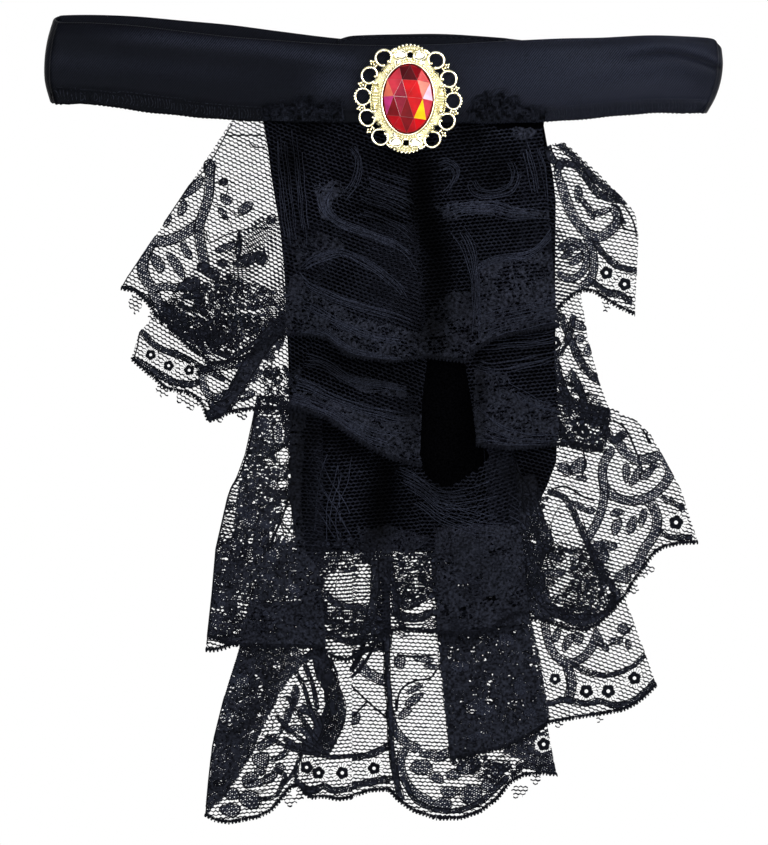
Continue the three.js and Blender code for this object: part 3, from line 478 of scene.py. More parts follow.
               ([(650, 900), (720, 960), (800, 985), (900, 990)], [(650, 1000), (720, 1010), (800, 1020), (900, 1015)], 6), ([(640, 700), (760, 690), (860, 680), (920, 650)], [(640, 740), (760, 730), (860, 720), (920, 700)], 5)])],
    "3": [dict(panels=(1, 2, 3), at=(200, 415), unit=5.833, net=-4, hem=[(40, 1292), (100, 1310), (150, 1330), (222, 1342), (300, 1345), (729, 1353)],
        areas=[[(330, -200), (640, -200), (610, 180), (590, 500), (610, 700), (620, 800), (700, 900), (720, 1100), (740, 1300), (760, 1400), (220, 1400), (240, 1310),
                (210, 1345), (40, 1295), (60, 1100), (85, 790), (180, 720), (225, 380), (250, 290), (290, 150)]],
        speck=[(370, 50, 40, 40, 0), (390, 115, 30, 30, 0), (460, 105, 25, 60, 0), (370, 350, 20, 15, 0), (420, 400, 50, 18, 35), (455, 330, 45, 25, 30),
               (350, 520, 40, 15, 35), (300, 410, 20, 25, 45), (400, 490, 25, 12, 40), (250, 560, 35, 30, 0), (255, 610, 15, 40, 0), (380, 640, 35, 30, 0),
               (370, 705, 25, 40, 0), (350, 790, 30, 25, 0), (420, 820, 35, 45, 0), (490, 740, 20, 20, 0), (215, 775, 20, 15, 0), (220, 880, 12, 8, 0),
               (135, 910, 14, 10, 0), (120, 990, 15, 12, 0), (120, 1075, 35, 45, 0), (100, 1195, 30, 45, 40), (380, 1155, 25, 15, 0), (400, 945, 60, 20, 15),
               (550, 1010, 40, 30, 0), (300, 600, 30, 60, 20), (440, 560, 40, 12, -40), (620, 1350, 40, 20, -40), (330, 1080, 30, 14, 30), (640, 1220, 30, 20, 0)],
        open=[(480, 235, 36, 55, 0), (400, 270, 32, 18, 40), (480, 405, 28, 26, 0), (508, 610, 30, 85, 8), (465, 672, 24, 32, 0), (415, 745, 12, 48, 20),
              (145, 840, 22, 13, 0), (265, 838, 16, 12, 0), (270, 1108, 20, 15, 0), (260, 1147, 20, 15, 0), (225, 1195, 38, 16, -35), (215, 1265, 32, 15, -35),
              (140, 1283, 38, 13, 5), (312, 1000, 12, 50, 15), (370, 690, 12, 20, 0), (355, 535, 22, 9, 35)],
        cords=[([(100, 770), (180, 720), (225, 700)], 6), ([(510, 170), (440, 215), (360, 260)], 7), ([(540, 700), (490, 640), (470, 600)], 5), ([(400, 780), (440, 690), (480, 600), (510, 500)], 6),
               ([(320, 0), (285, 180), (235, 340), (180, 430), (130, 600), (95, 770), (75, 900), (55, 1120), (42, 1292)], 5)],
        fringe=[(150, 1330, 25)]),
        dict(panels=(10, 11), at=(500, 400), unit=3.0, net=-15, hem=[(-60, 640), (30, 650), (90, 655), (130, 660), (160, 672), (205, 688), (255, 691), (295, 675), (325, 645), (350, 615), (375, 590),
              (395, 555), (420, 520), (440, 490), (463, 460), (490, 442), (540, 430), (588, 428), (640, 420)],
        bands=[([(350, 120), (380, 160), (420, 180), (482, 166)], 14), ([(335, 150), (310, 200), (314, 258), (350, 292), (400, 303), (450, 290), (490, 258), (512, 220), (500, 180)], 13),
               ([(310, 230), (312, 300), (292, 365), (265, 412)], 12), ([(448, 300), (472, 350), (466, 400), (432, 452), (412, 500), (378, 512)], 14)],
        dark_bands=[([(170, 60), (200, 120), (250, 145), (300, 145)], 10), ([(250, 40), (310, 80), (340, 120), (375, 100)], 12), ([(180, 0), (250, 40), (330, 60)], 10), ([(490, 292), (552, 326)], 9),
                    ([(480, 392), (512, 412), (575, 412)], 8), ([(150, 275), (200, 300), (240, 380), (282, 470), (322, 540), (355, 585)], 10), ([(90, 250), (100, 340), (135, 420), (100, 500), (130, 600)], 26),
                    ([(130, 612), (170, 640), (220, 664), (272, 668), (322, 638), (352, 600)], 12), ([(60, 560), (100, 620), (150, 650)], 18), ([(20, 200), (60, 300), (60, 420), (90, 560)], 34)],
        crowd=[[(210, 430), (270, 430), (330, 520), (358, 600), (300, 660), (180, 660), (140, 600), (200, 560)], [(60, 270), (140, 270), (120, 420), (200, 440), (140, 600), (60, 600)]],
        open=[(160, 500, 40, 48, 0), (190, 365, 36, 46, 20), (215, 600, 22, 16, 0)],
        leaves=[(195, 207, 25, 16, 40), (236, 198, 30, 20, -40), (245, 235, 18, 8, 0), (380, 218, 11, 30, 0), (410, 228, 12, 35, 30), (442, 220, 30, 12, -40), (466, 196, 14, 10, 0),
                (352, 338, 22, 11, -10), (350, 380, 14, 26, 20), (396, 376, 14, 28, 20), (430, 352, 11, 26, 10), (330, 440, 22, 12, 0), (300, 440, 32, 16, -20), (300, 468, 28, 24, 0),
                (240, 320, 27, 9, 30), (272, 332, 14, 10, 0), (370, 530, 25, 20, 0), (160, 520, 36, 11, 0), (165, 470, 26, 11, 20)],
        flowers=[(236, 72, 22), (530, 368, 22)],
        cords=[([(250, 150), (256, 190), (245, 235)], 2.5), ([(165, 265), (200, 260), (250, 290), (285, 302)], 3), ([(480, 60), (442, 100), (450, 132)], 3), ([(430, 90), (455, 130)], 3),
               ([(340, 60), (380, 90), (420, 180)], 3)], fringe=[(440, 510, 28), (400, 570, 20)]),
        dict(over=True, quiet=True, panels=(4, 5, 6, 7, 8, 9), at=(290, 545), unit=3.0, net=0, hem=[(-60, 300), (20, 300), (96, 282), (130, 295), (168, 308), (230, 296), (294, 284), (360, 272), (435, 262),
              (470, 255), (600, 245), (720, 234), (790, 225)],
        areas=[[(430, -60), (700, -60), (735, 240), (440, 256)], [(200, -50), (300, -60), (430, -20), (300, 60), (280, 110), (220, 40)], [(-60, -20), (60, -20), (120, 60), (80, 200), (100, 285), (-60, 300)]],
        crowd=[[(60, -20), (200, -20), (240, 60), (120, 90), (100, 60)], [(300, 60), (430, 0), (440, 150), (330, 170), (290, 110)], [(90, 200), (230, 190), (280, 220), (290, 280), (170, 300), (100, 275)]],
        dark_bands=[([(250, 0), (255, 100), (245, 200), (205, 290), (165, 345)], 13), ([(290, 100), (340, 180), (400, 160)], 11), ([(110, 150), (150, 180), (230, 190)], 11),
                    ([(100, 220), (160, 240), (240, 240)], 9), ([(110, 265), (170, 288), (240, 280)], 9), ([(310, 200), (370, 220), (430, 200)], 12), ([(300, 60), (310, 130), (320, 200), (340, 250)], 10)],
        swags=[([(300, -240), (360, -220), (470, -160), (610, -190)], [(310, -200), (390, -160), (470, -110), (630, -130)], 8),
               ([(310, -235), (390, -200), (450, -140), (550, -100), (650, -80)], [(330, -150), (400, -100), (460, -60), (560, -30), (660, -20)], 8),
               ([(60, -300), (20, -220), (30, -120), (0, 20)], [(200, -260), (190, -180), (150, -90), (170, 10)], 6), ([(80, -260), (120, -180), (160, -120), (200, -40)], [(30, -200), (70, -120), (110, -60), (150, 0)], 5), ([(650, -150), (700, -120), (760, -90)], [(650, -90), (700, -60), (760, -30)], 5)],
        open=[(190, 130, 60, 40, 0)])],
    "4": [dict(panels=(1, 2, 3, 4), at=(198, 630), unit=7.143, net=4, holes=1.4, hem=[(55, 1325), (120, 1362), (220, 1378), (330, 1358), (430, 1338), (520, 1292), (580, 1222), (640, 1142),
                (690, 1110), (750, 1150), (800, 1200), (900, 1195), (1000, 1215), (1071, 1205), (1260, 1180)],
        areas=[[(320, -200), (930, -200), (880, 170), (860, 190), (700, 300), (640, 380), (600, 430), (560, 520), (520, 600), (480, 680), (440, 760), (400, 880), (340, 960), (280, 1070),
                (220, 1140), (170, 1220), (60, 1320), (75, 1100), (110, 830), (160, 560), (220, 300), (280, 120)],
               [(880, 170), (960, 200), (1000, 300), (1020, 420), (1030, 560), (1010, 700), (900, 880), (830, 870), (760, 850), (800, 760), (900, 560), (890, 400)],
               [(690, 360), (740, 440), (700, 560), (640, 700), (560, 770), (600, 640), (640, 500)]],
        speck=[(310, 360, 60, 50, 0), (240, 380, 14, 60, 0), (370, 490, 80, 18, -18), (200, 610, 45, 50, 0), (340, 740, 60, 16, -25), (280, 830, 35, 18, 20),
               (190, 975, 16, 12, 0), (100, 1200, 22, 50, 45), (430, 120, 35, 20, 0), (570, 130, 20, 20, 0), (700, 160, 40, 40, 0), (960, 560, 20, 60, 0),
               (950, 330, 14, 60, 5), (320, 640, 50, 14, 10), (560, 250, 20, 30, 0)],
        open=[(150, 1097, 42, 22, 0), (785, 130, 22, 60, 40), (785, 290, 60, 95, 38), (860, 370, 22, 90, 10), (620, 520, 42, 26, 40), (585, 590, 40, 24, 40),
              (550, 640, 36, 20, 35), (515, 690, 28, 16, 35), (480, 740, 30, 14, -40), (700, 650, 26, 12, -30), (735, 765, 40, 26, 20), (650, 740, 16, 12, 0), (185, 600, 12, 10, 0), (225, 685, 16, 9, -30)],
        bands=[([(560, 770), (500, 800), (440, 840)], 30), ([(660, 800), (620, 880), (560, 920), (520, 930)], 16), ([(740, 560), (820, 600), (860, 680), (840, 760)], 30),
               ([(640, 720), (700, 700), (780, 740), (800, 800)], 22), ([(560, 1000), (520, 1060), (440, 1090), (360, 1110), (330, 1090)], 22)],
        dark_bands=[([(870, 190), (910, 330), (970, 450), (1000, 600), (960, 740), (890, 850)], 60), ([(700, 300), (760, 420), (800, 560), (860, 700)], 15), ([(640, 480), (720, 600), (800, 720), (880, 820)], 14),
                    ([(560, 620), (660, 720), (760, 800), (860, 860)], 14), ([(480, 760), (600, 820), (720, 870), (840, 890)], 12), ([(760, 250), (820, 400), (850, 560)], 15), ([(600, 1110), (560, 1180), (500, 1205), (440, 1215)], 13), ([(560, 1000), (620, 1045), (600, 1110)], 18), ([(720, 950), (660, 1050), (600, 1110)], 12),
                    ([(700, 1080), (750, 1125), (820, 1150), (900, 1120), (960, 1150), (1071, 1140), (1200, 1110)], 24), ([(830, 870), (880, 900), (950, 910), (1071, 905), (1200, 880)], 14),
                    ([(620, 780), (700, 830), (780, 850), (850, 890)], 22), ([(740, 880), (710, 960), (700, 1060)], 14)],
        leaves=[(450, 930, 62, 58, 0), (440, 1010, 40, 30, 0), (370, 1060, 60, 36, -20), (510, 1060, 60, 32, -30), (600, 900, 50, 18, -30), (370, 1215, 78, 62, 20),
                (230, 1290, 76, 46, 0), (245, 1175, 52, 44, 0), (590, 980, 40, 20, 20)],
        flowers=[(775, 985, 46), (860, 1025, 46), (1030, 1025, 46)], cords=[([(320, 1090), (350, 1140), (440, 1160), (540, 1130)], 4), ([(320, 20), (270, 130), (215, 300), (155, 560), (105, 830), (72, 1100), (55, 1325)], 5)],
        fringe=[(650, 1210, 75), (730, 1180, 50)]),
        dict(panels=(5, 6, 7, 8), at=(290, 545), unit=3.0, net=-3, hem=[(-90, 740), (0, 742), (60, 762), (138, 768), (190, 755), (240, 738), (296, 736), (330, 770), (370, 798), (440, 822),
              (510, 822), (570, 802), (620, 765), (660, 715), (700, 692), (760, 687), (805, 690), (860, 690)],
        areas=[[(436, -60), (720, -60), (760, 400), (800, 690), (700, 650), (600, 615), (478, 604), (455, 400), (440, 250)]],
        dark_bands=[([(285, 60), (292, 200), (290, 300), (292, 400), (300, 500), (303, 600), (318, 700), (335, 768)], 10), ([(280, 60), (275, 180), (282, 300)], 24),
                    ([(100, 628), (170, 640), (240, 630), (300, 602)], 10), ([(20, 716), (60, 740), (110, 748), (160, 726), (200, 722), (245, 712), (300, 705)], 10),
                    ([(110, 330), (200, 322), (290, 306)], 7), ([(340, 700), (370, 760), (420, 790), (490, 800), (560, 780), (610, 740), (650, 700)], 8), ([(700, 660), (750, 672), (800, 668)], 10)],
        bands=[([(205, 350), (232, 385), (290, 412)], 15), ([(298, 500), (312, 550), (350, 596), (385, 612)], 13), ([(345, 612), (332, 650), (342, 700), (372, 742), (420, 770)], 12),
               ([(440, 640), (500, 620), (560, 650)], 14)],
        leaves=[(330, 352, 16, 20, 0), (400, 343, 32, 10, 10), (430, 366, 30, 8, 5), (372, 465, 33, 12, -35), (345, 505, 25, 11, -40), (375, 432, 28, 8, -30), (186, 520, 26, 20, 0),
                (395, 668, 34, 22, 0), (440, 700, 24, 14, 30), (530, 672, 30, 18, 0), (480, 742, 30, 17, 0), (545, 752, 34, 32, 0), (597, 722, 24, 20, 0), (458, 778, 30, 18, 0),
                (620, 680, 26, 20, 0), (490, 690, 22, 14, 0), (420, 630, 30, 12, 0)],
        speck=[(575, 485, 42, 26, 0), (520, 360, 30, 14, 20), (640, 300, 20, 20, 0), (560, 560, 30, 14, 0), (700, 520, 16, 30, 0), (560, 200, 24, 10, 0), (660, 420, 18, 26, 0)],
        open=[(600, 470, 12, 10, 0), (545, 500, 12, 8, 0), (640, 640, 20, 8, 0)],
        crowd=[[(470, 610), (560, 620), (690, 660), (690, 690), (640, 740), (560, 700), (480, 660)]],
        flowers=[(40, 665, 19), (85, 684, 19), (160, 686, 19), (252, 672, 19), (762, 600, 20)],
        cords=[([(320, 330), (380, 335), (440, 330)], 3), ([(320, 500), (330, 440), (370, 410), (420, 400), (440, 375)], 3), ([(160, 400), (232, 470), (290, 520)], 3), ([(232, 470), (186, 520)], 3),
               ([(230, 240), (210, 330), (150, 430)], 8), ([(270, 270), (220, 360), (160, 420)], 5)], fringe=[(690, 740, 30), (740, 710, 20)]),
        dict(panels=(9, 10, 11), at=(500, 400), unit=3.0, net=-20, hem=[(-260, 1085), (-150, 1078), (-60, 1060), (20, 1040), (100, 1000), (150, 968), (240, 952), (315, 941), (370, 931), (405, 914),
              (440, 888), (468, 858), (500, 838)],
        areas=[[(-215, 350), (30, 330), (85, 615), (122, 775), (152, 955), (150, 1010), (-150, 1100), (-190, 700)]],
        speck=[(-55, 920, 42, 26, 0), (-120, 800, 30, 16, 0), (20, 720, 24, 18, 0), (60, 860, 20, 30, 0), (-100, 640, 30, 12, 20), (30, 560, 16, 24, 0), (-60, 1010, 40, 12, -10), (90, 940, 20, 14, 0)],
        open=[(-30, 905, 14, 9, 0), (-85, 935, 12, 8, 0), (40, 700, 9, 7, 0), (100, 900, 8, 12, 0)],
        bands=[([(136, 640), (140, 700), (160, 758), (200, 790), (240, 780), (272, 750), (290, 708)], 12), ([(200, 790), (216, 850), (205, 902)], 14)],
        dark_bands=[([(215, 792), (270, 820), (330, 826), (400, 800), (450, 748)], 7), ([(150, 912), (200, 900), (250, 912), (300, 905), (350, 917), (400, 904), (440, 874), (468, 842)], 9),
                    ([(100, 560), (140, 620), (200, 650), (280, 655)], 14)],
        leaves=[(295, 716, 13, 28, -20), (170, 706, 11, 25, 20), (205, 726, 13, 30, 30), (236, 716, 16, 18, 0), (372, 688, 20, 14, 20), (350, 724, 22, 11, -10), (386, 734, 9, 16, 0), (312, 740, 20, 8, 40)],
        flowers=[(260, 875, 21), (326, 875, 21), (405, 836, 20), (166, 838, 18)], cords=[([(320, 742), (360, 720), (402, 676)], 2.5), ([(130, 640), (190, 640), (270, 690)], 3)],
        fringe=[(300, 960, 18), (180, 975, 20)])],
}


def in_outline(px, py, poly):
    inside = np.zeros(px.shape, bool)
    n = len(poly)
    for k in range(n):
        (x0, y0), (x1, y1) = poly[k], poly[(k + 1) % n]
        if y0 == y1:
            continue
        cut = (y0 > py) != (y1 > py)
        inside ^= cut & (px < (x1 - x0) * (py - y0) / (y1 - y0) + x0)
    return inside


class Drawing:
    """One drawing as fine tables of where the cloth, the fill and the solid embroidery are, and its cords."""
    step = 0.4

    def __init__(self, spec, seed):
        g = np.random.default_rng(seed)
        ax, ay = spec["at"]
        k = 1 / spec["unit"]

        def line(pts):
            return np.array([(ax + x * k, ay + y * k) for x, y in pts], float)

        def ring(e, n=15):
            t = np.linspace(0, 2 * np.pi, n)
            c, m = math.cos(math.radians(e[4])), math.sin(math.radians(e[4]))
            x, y = e[2] * np.cos(t), e[3] * np.sin(t)
            wob = 1 + 0.10 * np.sin(3 * t + e[0])
            return line(np.stack([e[0] + (x * c - y * m) * wob, e[1] + (x * m + y * c) * wob], 1))

        self.spec, self.k = spec, k
        hem = line(spec["hem"])
        self.hem = hem
        allp = [hem] + [line(b) for b, _ in spec.get("bands", []) + spec.get("dark_bands", []) + spec.get("cords", [])] + [line(a) for a in spec.get("areas", []) + spec.get("crowd", [])] + [line(q) for w in spec.get("swags", []) for q in w[:2]]
        allp = np.concatenate(allp)
        self.x0, self.y0 = allp.min(0) - 14
        x1, y1 = allp.max(0) + 14
        X, Y = np.meshgrid(np.arange(self.x0, x1, self.step), np.arange(self.y0, y1, self.step), indexing="ij")
        cloth = in_outline(X, Y, [(hem[0][0] - 400, hem[0][1]), *map(tuple, hem), (hem[-1][0] + 400, hem[-1][1]), (hem[-1][0] + 400, -999), (hem[0][0] - 400, -999)])
        fill, solid, bare = (np.zeros(X.shape, bool) for _ in range(3))
        self.cords = []

        def ellipse(e, grow=0.0):
            cx, cy = line([e[:2]])[0]
            c, m = math.cos(math.radians(e[4])), math.sin(math.radians(e[4]))
            u, w = (X - cx) * c + (Y - cy) * m, -(X - cx) * m + (Y - cy) * c
            return (u / (e[2] * k + grow)) ** 2 + (w / (e[3] * k + grow)) ** 2 < 1

        def both_sides(pts, w, cord):
            d = np.gradient(pts, axis=0)
            n = np.stack([-d[:, 1], d[:, 0]], 1) / np.maximum(np.linalg.norm(d, axis=1), 1e-9)[:, None]
            for sign in (1, -1):
                self.cords.append((pts + sign * w * n, cord))

        for a in spec.get("crowd", []):
            poly = line(a)
            (xa, ya), (xb, yb) = poly.min(0), poly.max(0)
            for gx in np.arange(xa, xb, 6.6):
                for gy in np.arange(ya, yb, 4.9):
                    cx, cy = gx + g.normal() * 1.5, gy + g.normal() * 1.2
                    if not in_outline(np.array([cx]), np.array([cy]), [tuple(q) for q in poly])[0]:
                        continue
                    e = ((cx - ax) / k, (cy - ay) / k, (3.1 + g.random() * 1.6) / k, (1.7 + g.random() * 1.2) / k, g.normal() * 45)
                    if g.random() < 0.62:
                        solid |= ellipse(e)
                    else:
                        fill |= ellipse(e)
                    self.cords.append((ring(e, 9), 0.5))
        for a in spec.get("areas", []):
            solid |= in_outline(X, Y, [tuple(q) for q in line(a)])
        solid &= ~((self.noise(g, X.shape, 2.1) + 0.60 * self.noise(g, X.shape, 13)) > spec.get("holes", 1.17))
        for e in spec.get("speck", []):
            solid &= ~(ellipse(e) & (self.noise(g, X.shape, 2.4) > 0.42))
            fill |= ellipse(e)
        for e in spec.get("open", []):
            m = ellipse(e)
            solid &= ~m
            fill &= ~m
            self.cords.append((ring(e), 0.45))
        for pts, w in spec.get("bands", []):
            pts = bend(line(pts), 5)
            fill |= seg_dist(X, Y, pts) < w * k
            both_sides(pts, w * k, 0.62)
        for e in spec.get("leaves", []):
            fill |= ellipse(e, 0.45)
            self.cords.append((ring(e), 0.55))
        for pts, w in spec.get("dark_bands", []):
            pts = bend(line(pts), 5)
            run = np.cumsum(np.concatenate([[0], np.linalg.norm(np.diff(pts, axis=0), axis=1)]))
            solid |= seg_dist(X, Y, pts) < w * k
            both_sides(pts, w * k * (0.9 + 0.12 * np.sin(run * 1.6))[:, None], 0.55)
        for e in spec.get("solid", []):
            solid |= ellipse(e)
            self.cords.append((ring(e), 0.5))
        self.flowers = []
        for x, y, r in spec.get("flowers", []):
            cx, cy = line([(x, y)])[0]
            bare |= (X - cx) ** 2 + (Y - cy) ** 2 < (r * k * 1.25) ** 2
            solid &= ~bare
            fill &= ~bare
            self.flowers.append((cx, cy, r * k))
        for pts, w in spec.get("cords", []):
            self.cords.append((bend(line(pts), 5), w * k))
        self.swags = []
        for first, last, count in spec.get("swags", []):
            ends = []
            for pts in (first, last):
                pts = bend(line(pts), 5)
                f = np.linspace(0, 1, len(pts))
                ends.append(np.stack([np.interp(np.linspace(0, 1, 41), f, pts[:, c]) for c in (0, 1)], 1))
            for j in range(count):
                pts = mix(*ends, (j + 0.3 * g.normal()) / max(count - 1, 1))
                pts[:, 1] += 0.45 * np.sin(pts[:, 0] / (4 + 3 * g.random()) + 6 * g.random())
                pts[:, 0] += 0.35 * np.sin(pts[:, 1] / (4 + 3 * g.random()) + 6 * g.random())
                self.swags.append((pts[int(10 * g.random()):41 - int(10 * g.random())], 0.34 + 0.22 * g.random()))
        core = solid.copy()                                          # the net runs in under the rim of close work
        for _ in range(5):
            core[1:-1, 1:-1] = core[1:-1, 1:-1] & core[2:, 1:-1] & core[:-2, 1:-1] & core[1:-1, 2:] & core[1:-1, :-2]
        net = cloth & ~bare & ~core
        ragged = self.noise(g, X.shape, 3.5)
        for x, y, r in spec.get("fringe", []):
            cx, cy = line([(x, y)])[0]
            r *= k
            net |= (np.hypot(X - cx, Y - cy) + r * 0.55 * ragged < r * 1.1) & ~cloth
        self.masks = {"net": net, "fill": fill & cloth, "solid": solid & cloth, "cloth": cloth}

    def noise(self, g, shape, cell):
        """Smooth random values from 0 to 1, about cell squares apart."""
        n = [int(k * self.step / cell) + 3 for k in shape]
        v = g.random(n)
        at = [np.arange(k) * self.step / cell for k in shape]
        i, j = [a.astype(int) for a in at]
        f, h = [(a - a.astype(int)) for a in at]
        f, h = (f * f * (3 - 2 * f))[:, None], (h * h * (3 - 2 * h))[None, :]
        return mix(mix(v[i][:, j], v[i + 1][:, j], f), mix(v[i][:, j + 1], v[i + 1][:, j + 1], f), h)

    def keep(self, name):
        mask = self.masks[name]
        out = name in ("net", "cloth")

        def ask(s, t):
            i = np.rint((s - self.x0) / self.step).astype(int)
            j = np.rint((-t - self.y0) / self.step).astype(int)
            ok = (i >= 0) & (i < mask.shape[0]) & (j >= 0) & (j < mask.shape[1])
            above = j < 0
            i, j = np.clip(i, 0, mask.shape[0] - 1), np.clip(j, 0, mask.shape[1] - 1)
            return np.where(ok, mask[i, j], out & above | (out & ~ok & mask[i, j]))

        return ask


def side_line(fold, side):
    """A fold line, or a side's outline, as a function from v to squares; it runs on straight past both ends."""
    xt, yt, xh, yh = fold[:4]
    pts = np.array([(xh, yh), *(side or []), (xt, yt)], float)
    along = np.concatenate([[0], np.cumsum(np.linalg.norm(np.diff(pts, axis=0), axis=1))])
    along /= along[-1]
    first = pts[0] - 0.4 * (pts[1] - pts[0]) / (along[1] - along[0])
    last = pts[-1] + 0.4 * (pts[-1] - pts[-2]) / (along[-1] - along[-2])
    pts = np.concatenate([[first], pts, [last]])
    along = np.concatenate([[-0.4], along, [1.4]])
    return lambda v: (np.interp(v, along, pts[:, 0]), np.interp(v, along, pts[:, 1]))


class Tier:
    snap = 2.5   # squares past a crease from which a thread is drawn in to it

    def __init__(self, spec, drawings=()):
        self.spec = spec
        self.drawn = {i: d for d in drawings for i in d.spec["panels"] if not d.spec.get("over")}
        self.over = {i: d for d in drawings for i in d.spec["panels"] if d.spec.get("over")}
        self.in_plan = False
        self.folds = spec["folds"]
        self.base = spread()
        n = len(self.folds)
        self.lines = [side_line(f, spec.get("left") if i == 0 else spec.get("right") if i == n - 1 else spec.get("bulge", {}).get(i))
                      for i, f in enumerate(self.folds)]
        s = self.folds[0][9] or 0
        self.s = []
        for i in range(n - 1):
            a, b = self.folds[i], self.folds[i + 1]
            if a[9] is not None:
                s = a[9]
            self.s.append(s)
            s += math.hypot(b[2] - a[2], b[3] - a[3])
        self.s.append(s)

    def height(self, i, u, v, x, y):
        """Height in mm of the middle of the cloth in panel i; x and y in squares."""
        a, b = self.folds[i], self.folds[i + 1]
        px, py = plan(x, y)
        under = self.base(px, py)
        f = soft(u)
        layer, up, mid = mix(a[4], a[5], f), mix(a[6], b[6], f), mix(a[7], b[7], f)
        z = under + np.minimum(EASE, under) + LACE / 2 + layer * LAYER + up * (1 - v) ** 2 + mid * np.sin(np.pi * np.clip(v, 0, 1)) ** 2
        if "sewn" in self.spec:
            top, start = self.spec["sewn"]
            z = mix(z, np.maximum(z, top), soft((v - start) / (1 - start)))
        return z

    def cad_grid(self):
        """The same coarse grid as the CAD's, which the next tier lies on."""
        cols, n = [], self.spec["rows"]
        for i in range(len(self.folds) - 1):
            a, b = self.folds[i], self.folds[i + 1]
            run = math.hypot(b[2] - a[2], b[3] - a[3])
            deep = math.hypot(a[0] - a[2], a[1] - a[3])
            parts = max(2, int(run / self.spec["step"] + 0.5))
            for k in range(parts + 1):
                f = k / parts
                hem = float(hem_line(np.array(self.s[i] + run * f))) / deep
                v = hem + (1 - hem) * np.arange(n + 1) / n
                ax, ay = self.lines[i](v)
                bx, by = self.lines[i + 1](v)
                x, y = mix(ax, bx, f), mix(ay, by, f)
                z = self.height(i, f, v, x, y)
                px, py = plan(x, y)
                cols.append(np.stack([px, py, z], 1))
        return np.array(cols)

    def chart(self, i):
        """Origin, s, t and the two directions of panel i's piece of the lace chart."""
        a, b = self.folds[i], self.folds[i + 1]
        if i in self.drawn or self.in_plan:
            return np.zeros(2), 0.0, 0.0, np.array([1.0, 0.0]), np.array([0.0, -1.0])
        if a[10]:
            x, y, s, t, deg = a[10]
            c, n = math.cos(math.radians(deg)), math.sin(math.radians(deg))
            return np.array([x, y]), s, t, np.array([c, n]), np.array([n, -c])
        e = np.array([b[2] - a[2], b[3] - a[3]], float)
        e /= np.linalg.norm(e)
        n = np.array([e[1], -e[0]])
        if n @ np.array([a[0] + b[0] - a[2] - b[2], a[1] + b[1] - a[3] - b[3]]) < 0:
            n = -n
        return np.array([a[2], a[3]], float), self.s[i], 0.0, e, n

    def invert(self, i, x, y):
        """u and v in panel i of points in squares."""
        la, lb = self.lines[i], self.lines[i + 1]

        def cross(v):
            ax, ay = la(v)
            bx, by = lb(v)
            return (bx - ax) * (y - ay) - (by - ay) * (x - ax)

        m = np.array([0.5])
        a0, b0 = la(np.array([0.0])), lb(np.array([0.0]))
        a1, b1 = la(m), lb(m)
        mx, my = (a1[0] + b1[0]) / 2, (a1[1] + b1[1]) / 2
        sign = np.sign((b0[0] - a0[0]) * (my - a0[1]) - (b0[1] - a0[1]) * (mx - a0[0]))[0]
        low, high = np.full(x.shape, -0.3), np.full(x.shape, 1.3)
        for _ in range(20):
            v = (low + high) / 2
            ahead = cross(v) * sign > 0
            low, high = np.where(ahead, v, low), np.where(ahead, high, v)
        v = (low + high) / 2
        ax, ay = la(v)
        bx, by = lb(v)
        dx, dy = bx - ax, by - ay
        u = ((x - ax) * dx + (y - ay) * dy) / np.maximum(dx * dx + dy * dy, 1e-9)
        return u, v

    def bounds(self, i):
        """The panel's box in its chart."""
        v = np.linspace(-0.12, 1, 12)
        (ax, ay), (bx, by) = self.lines[i](v), self.lines[i + 1](v)
        p = np.stack([np.concatenate([ax, bx]), np.concatenate([ay, by])], 1)
        o, s0, t0, e, n = self.chart(i)
        s, t = s0 + (p - o) @ e, t0 + (p - o) @ n
        return s.min(), s.max(), t.min() if i in self.drawn or self.in_plan else max(t.min(), -8), t.max()

    def place(self, i, s, t, lift):
        """Points of the chart to the row frame in metres, and whether they are in the panel."""
        o, s0, t0, e, n = self.chart(i)
        x = o[0] + (s - s0) * e[0] + (t - t0) * n[0]
        y = o[1] + (s - s0) * e[1] + (t - t0) * n[1]
        u, v = self.invert(i, x, y)
        (ax, ay), (bx, by) = self.lines[i](v), self.lines[i + 1](v)
        snap = self.snap / np.maximum(np.hypot(bx - ax, by - ay), 1e-6)
        inside = (u >= -snap) & (u <= 1 + snap) & (v <= 1) & (v > -0.25)
        if "gap" in self.spec:
            inside &= ~in_outline(x + 1.6 * np.sin(y / 5.3) + 1.1 * np.sin(x / 2.9), y + 1.8 * np.sin(x / 3.7), self.spec["gap"])
        x = np.where(u < 0, ax, np.where(u > 1, bx, x))
        y = np.where(u < 0, ay, np.where(u > 1, by, y))
        z = self.height(i, np.clip(u, 0, 1), np.clip(v, -0.1, 1), x, y)
        gather = soft((v - 0.5) / 0.5)
        z = z + 0.32 * gather * np.sin(s / 1.9 + 2 * np.sin(s / 17)) + 0.16 * np.sin(s / 9 + t / 23) * np.sin(t / 15)
        p = np.stack([to_x(x), to_y(y), (z + lift) * MM], -1)
        return p, inside, v


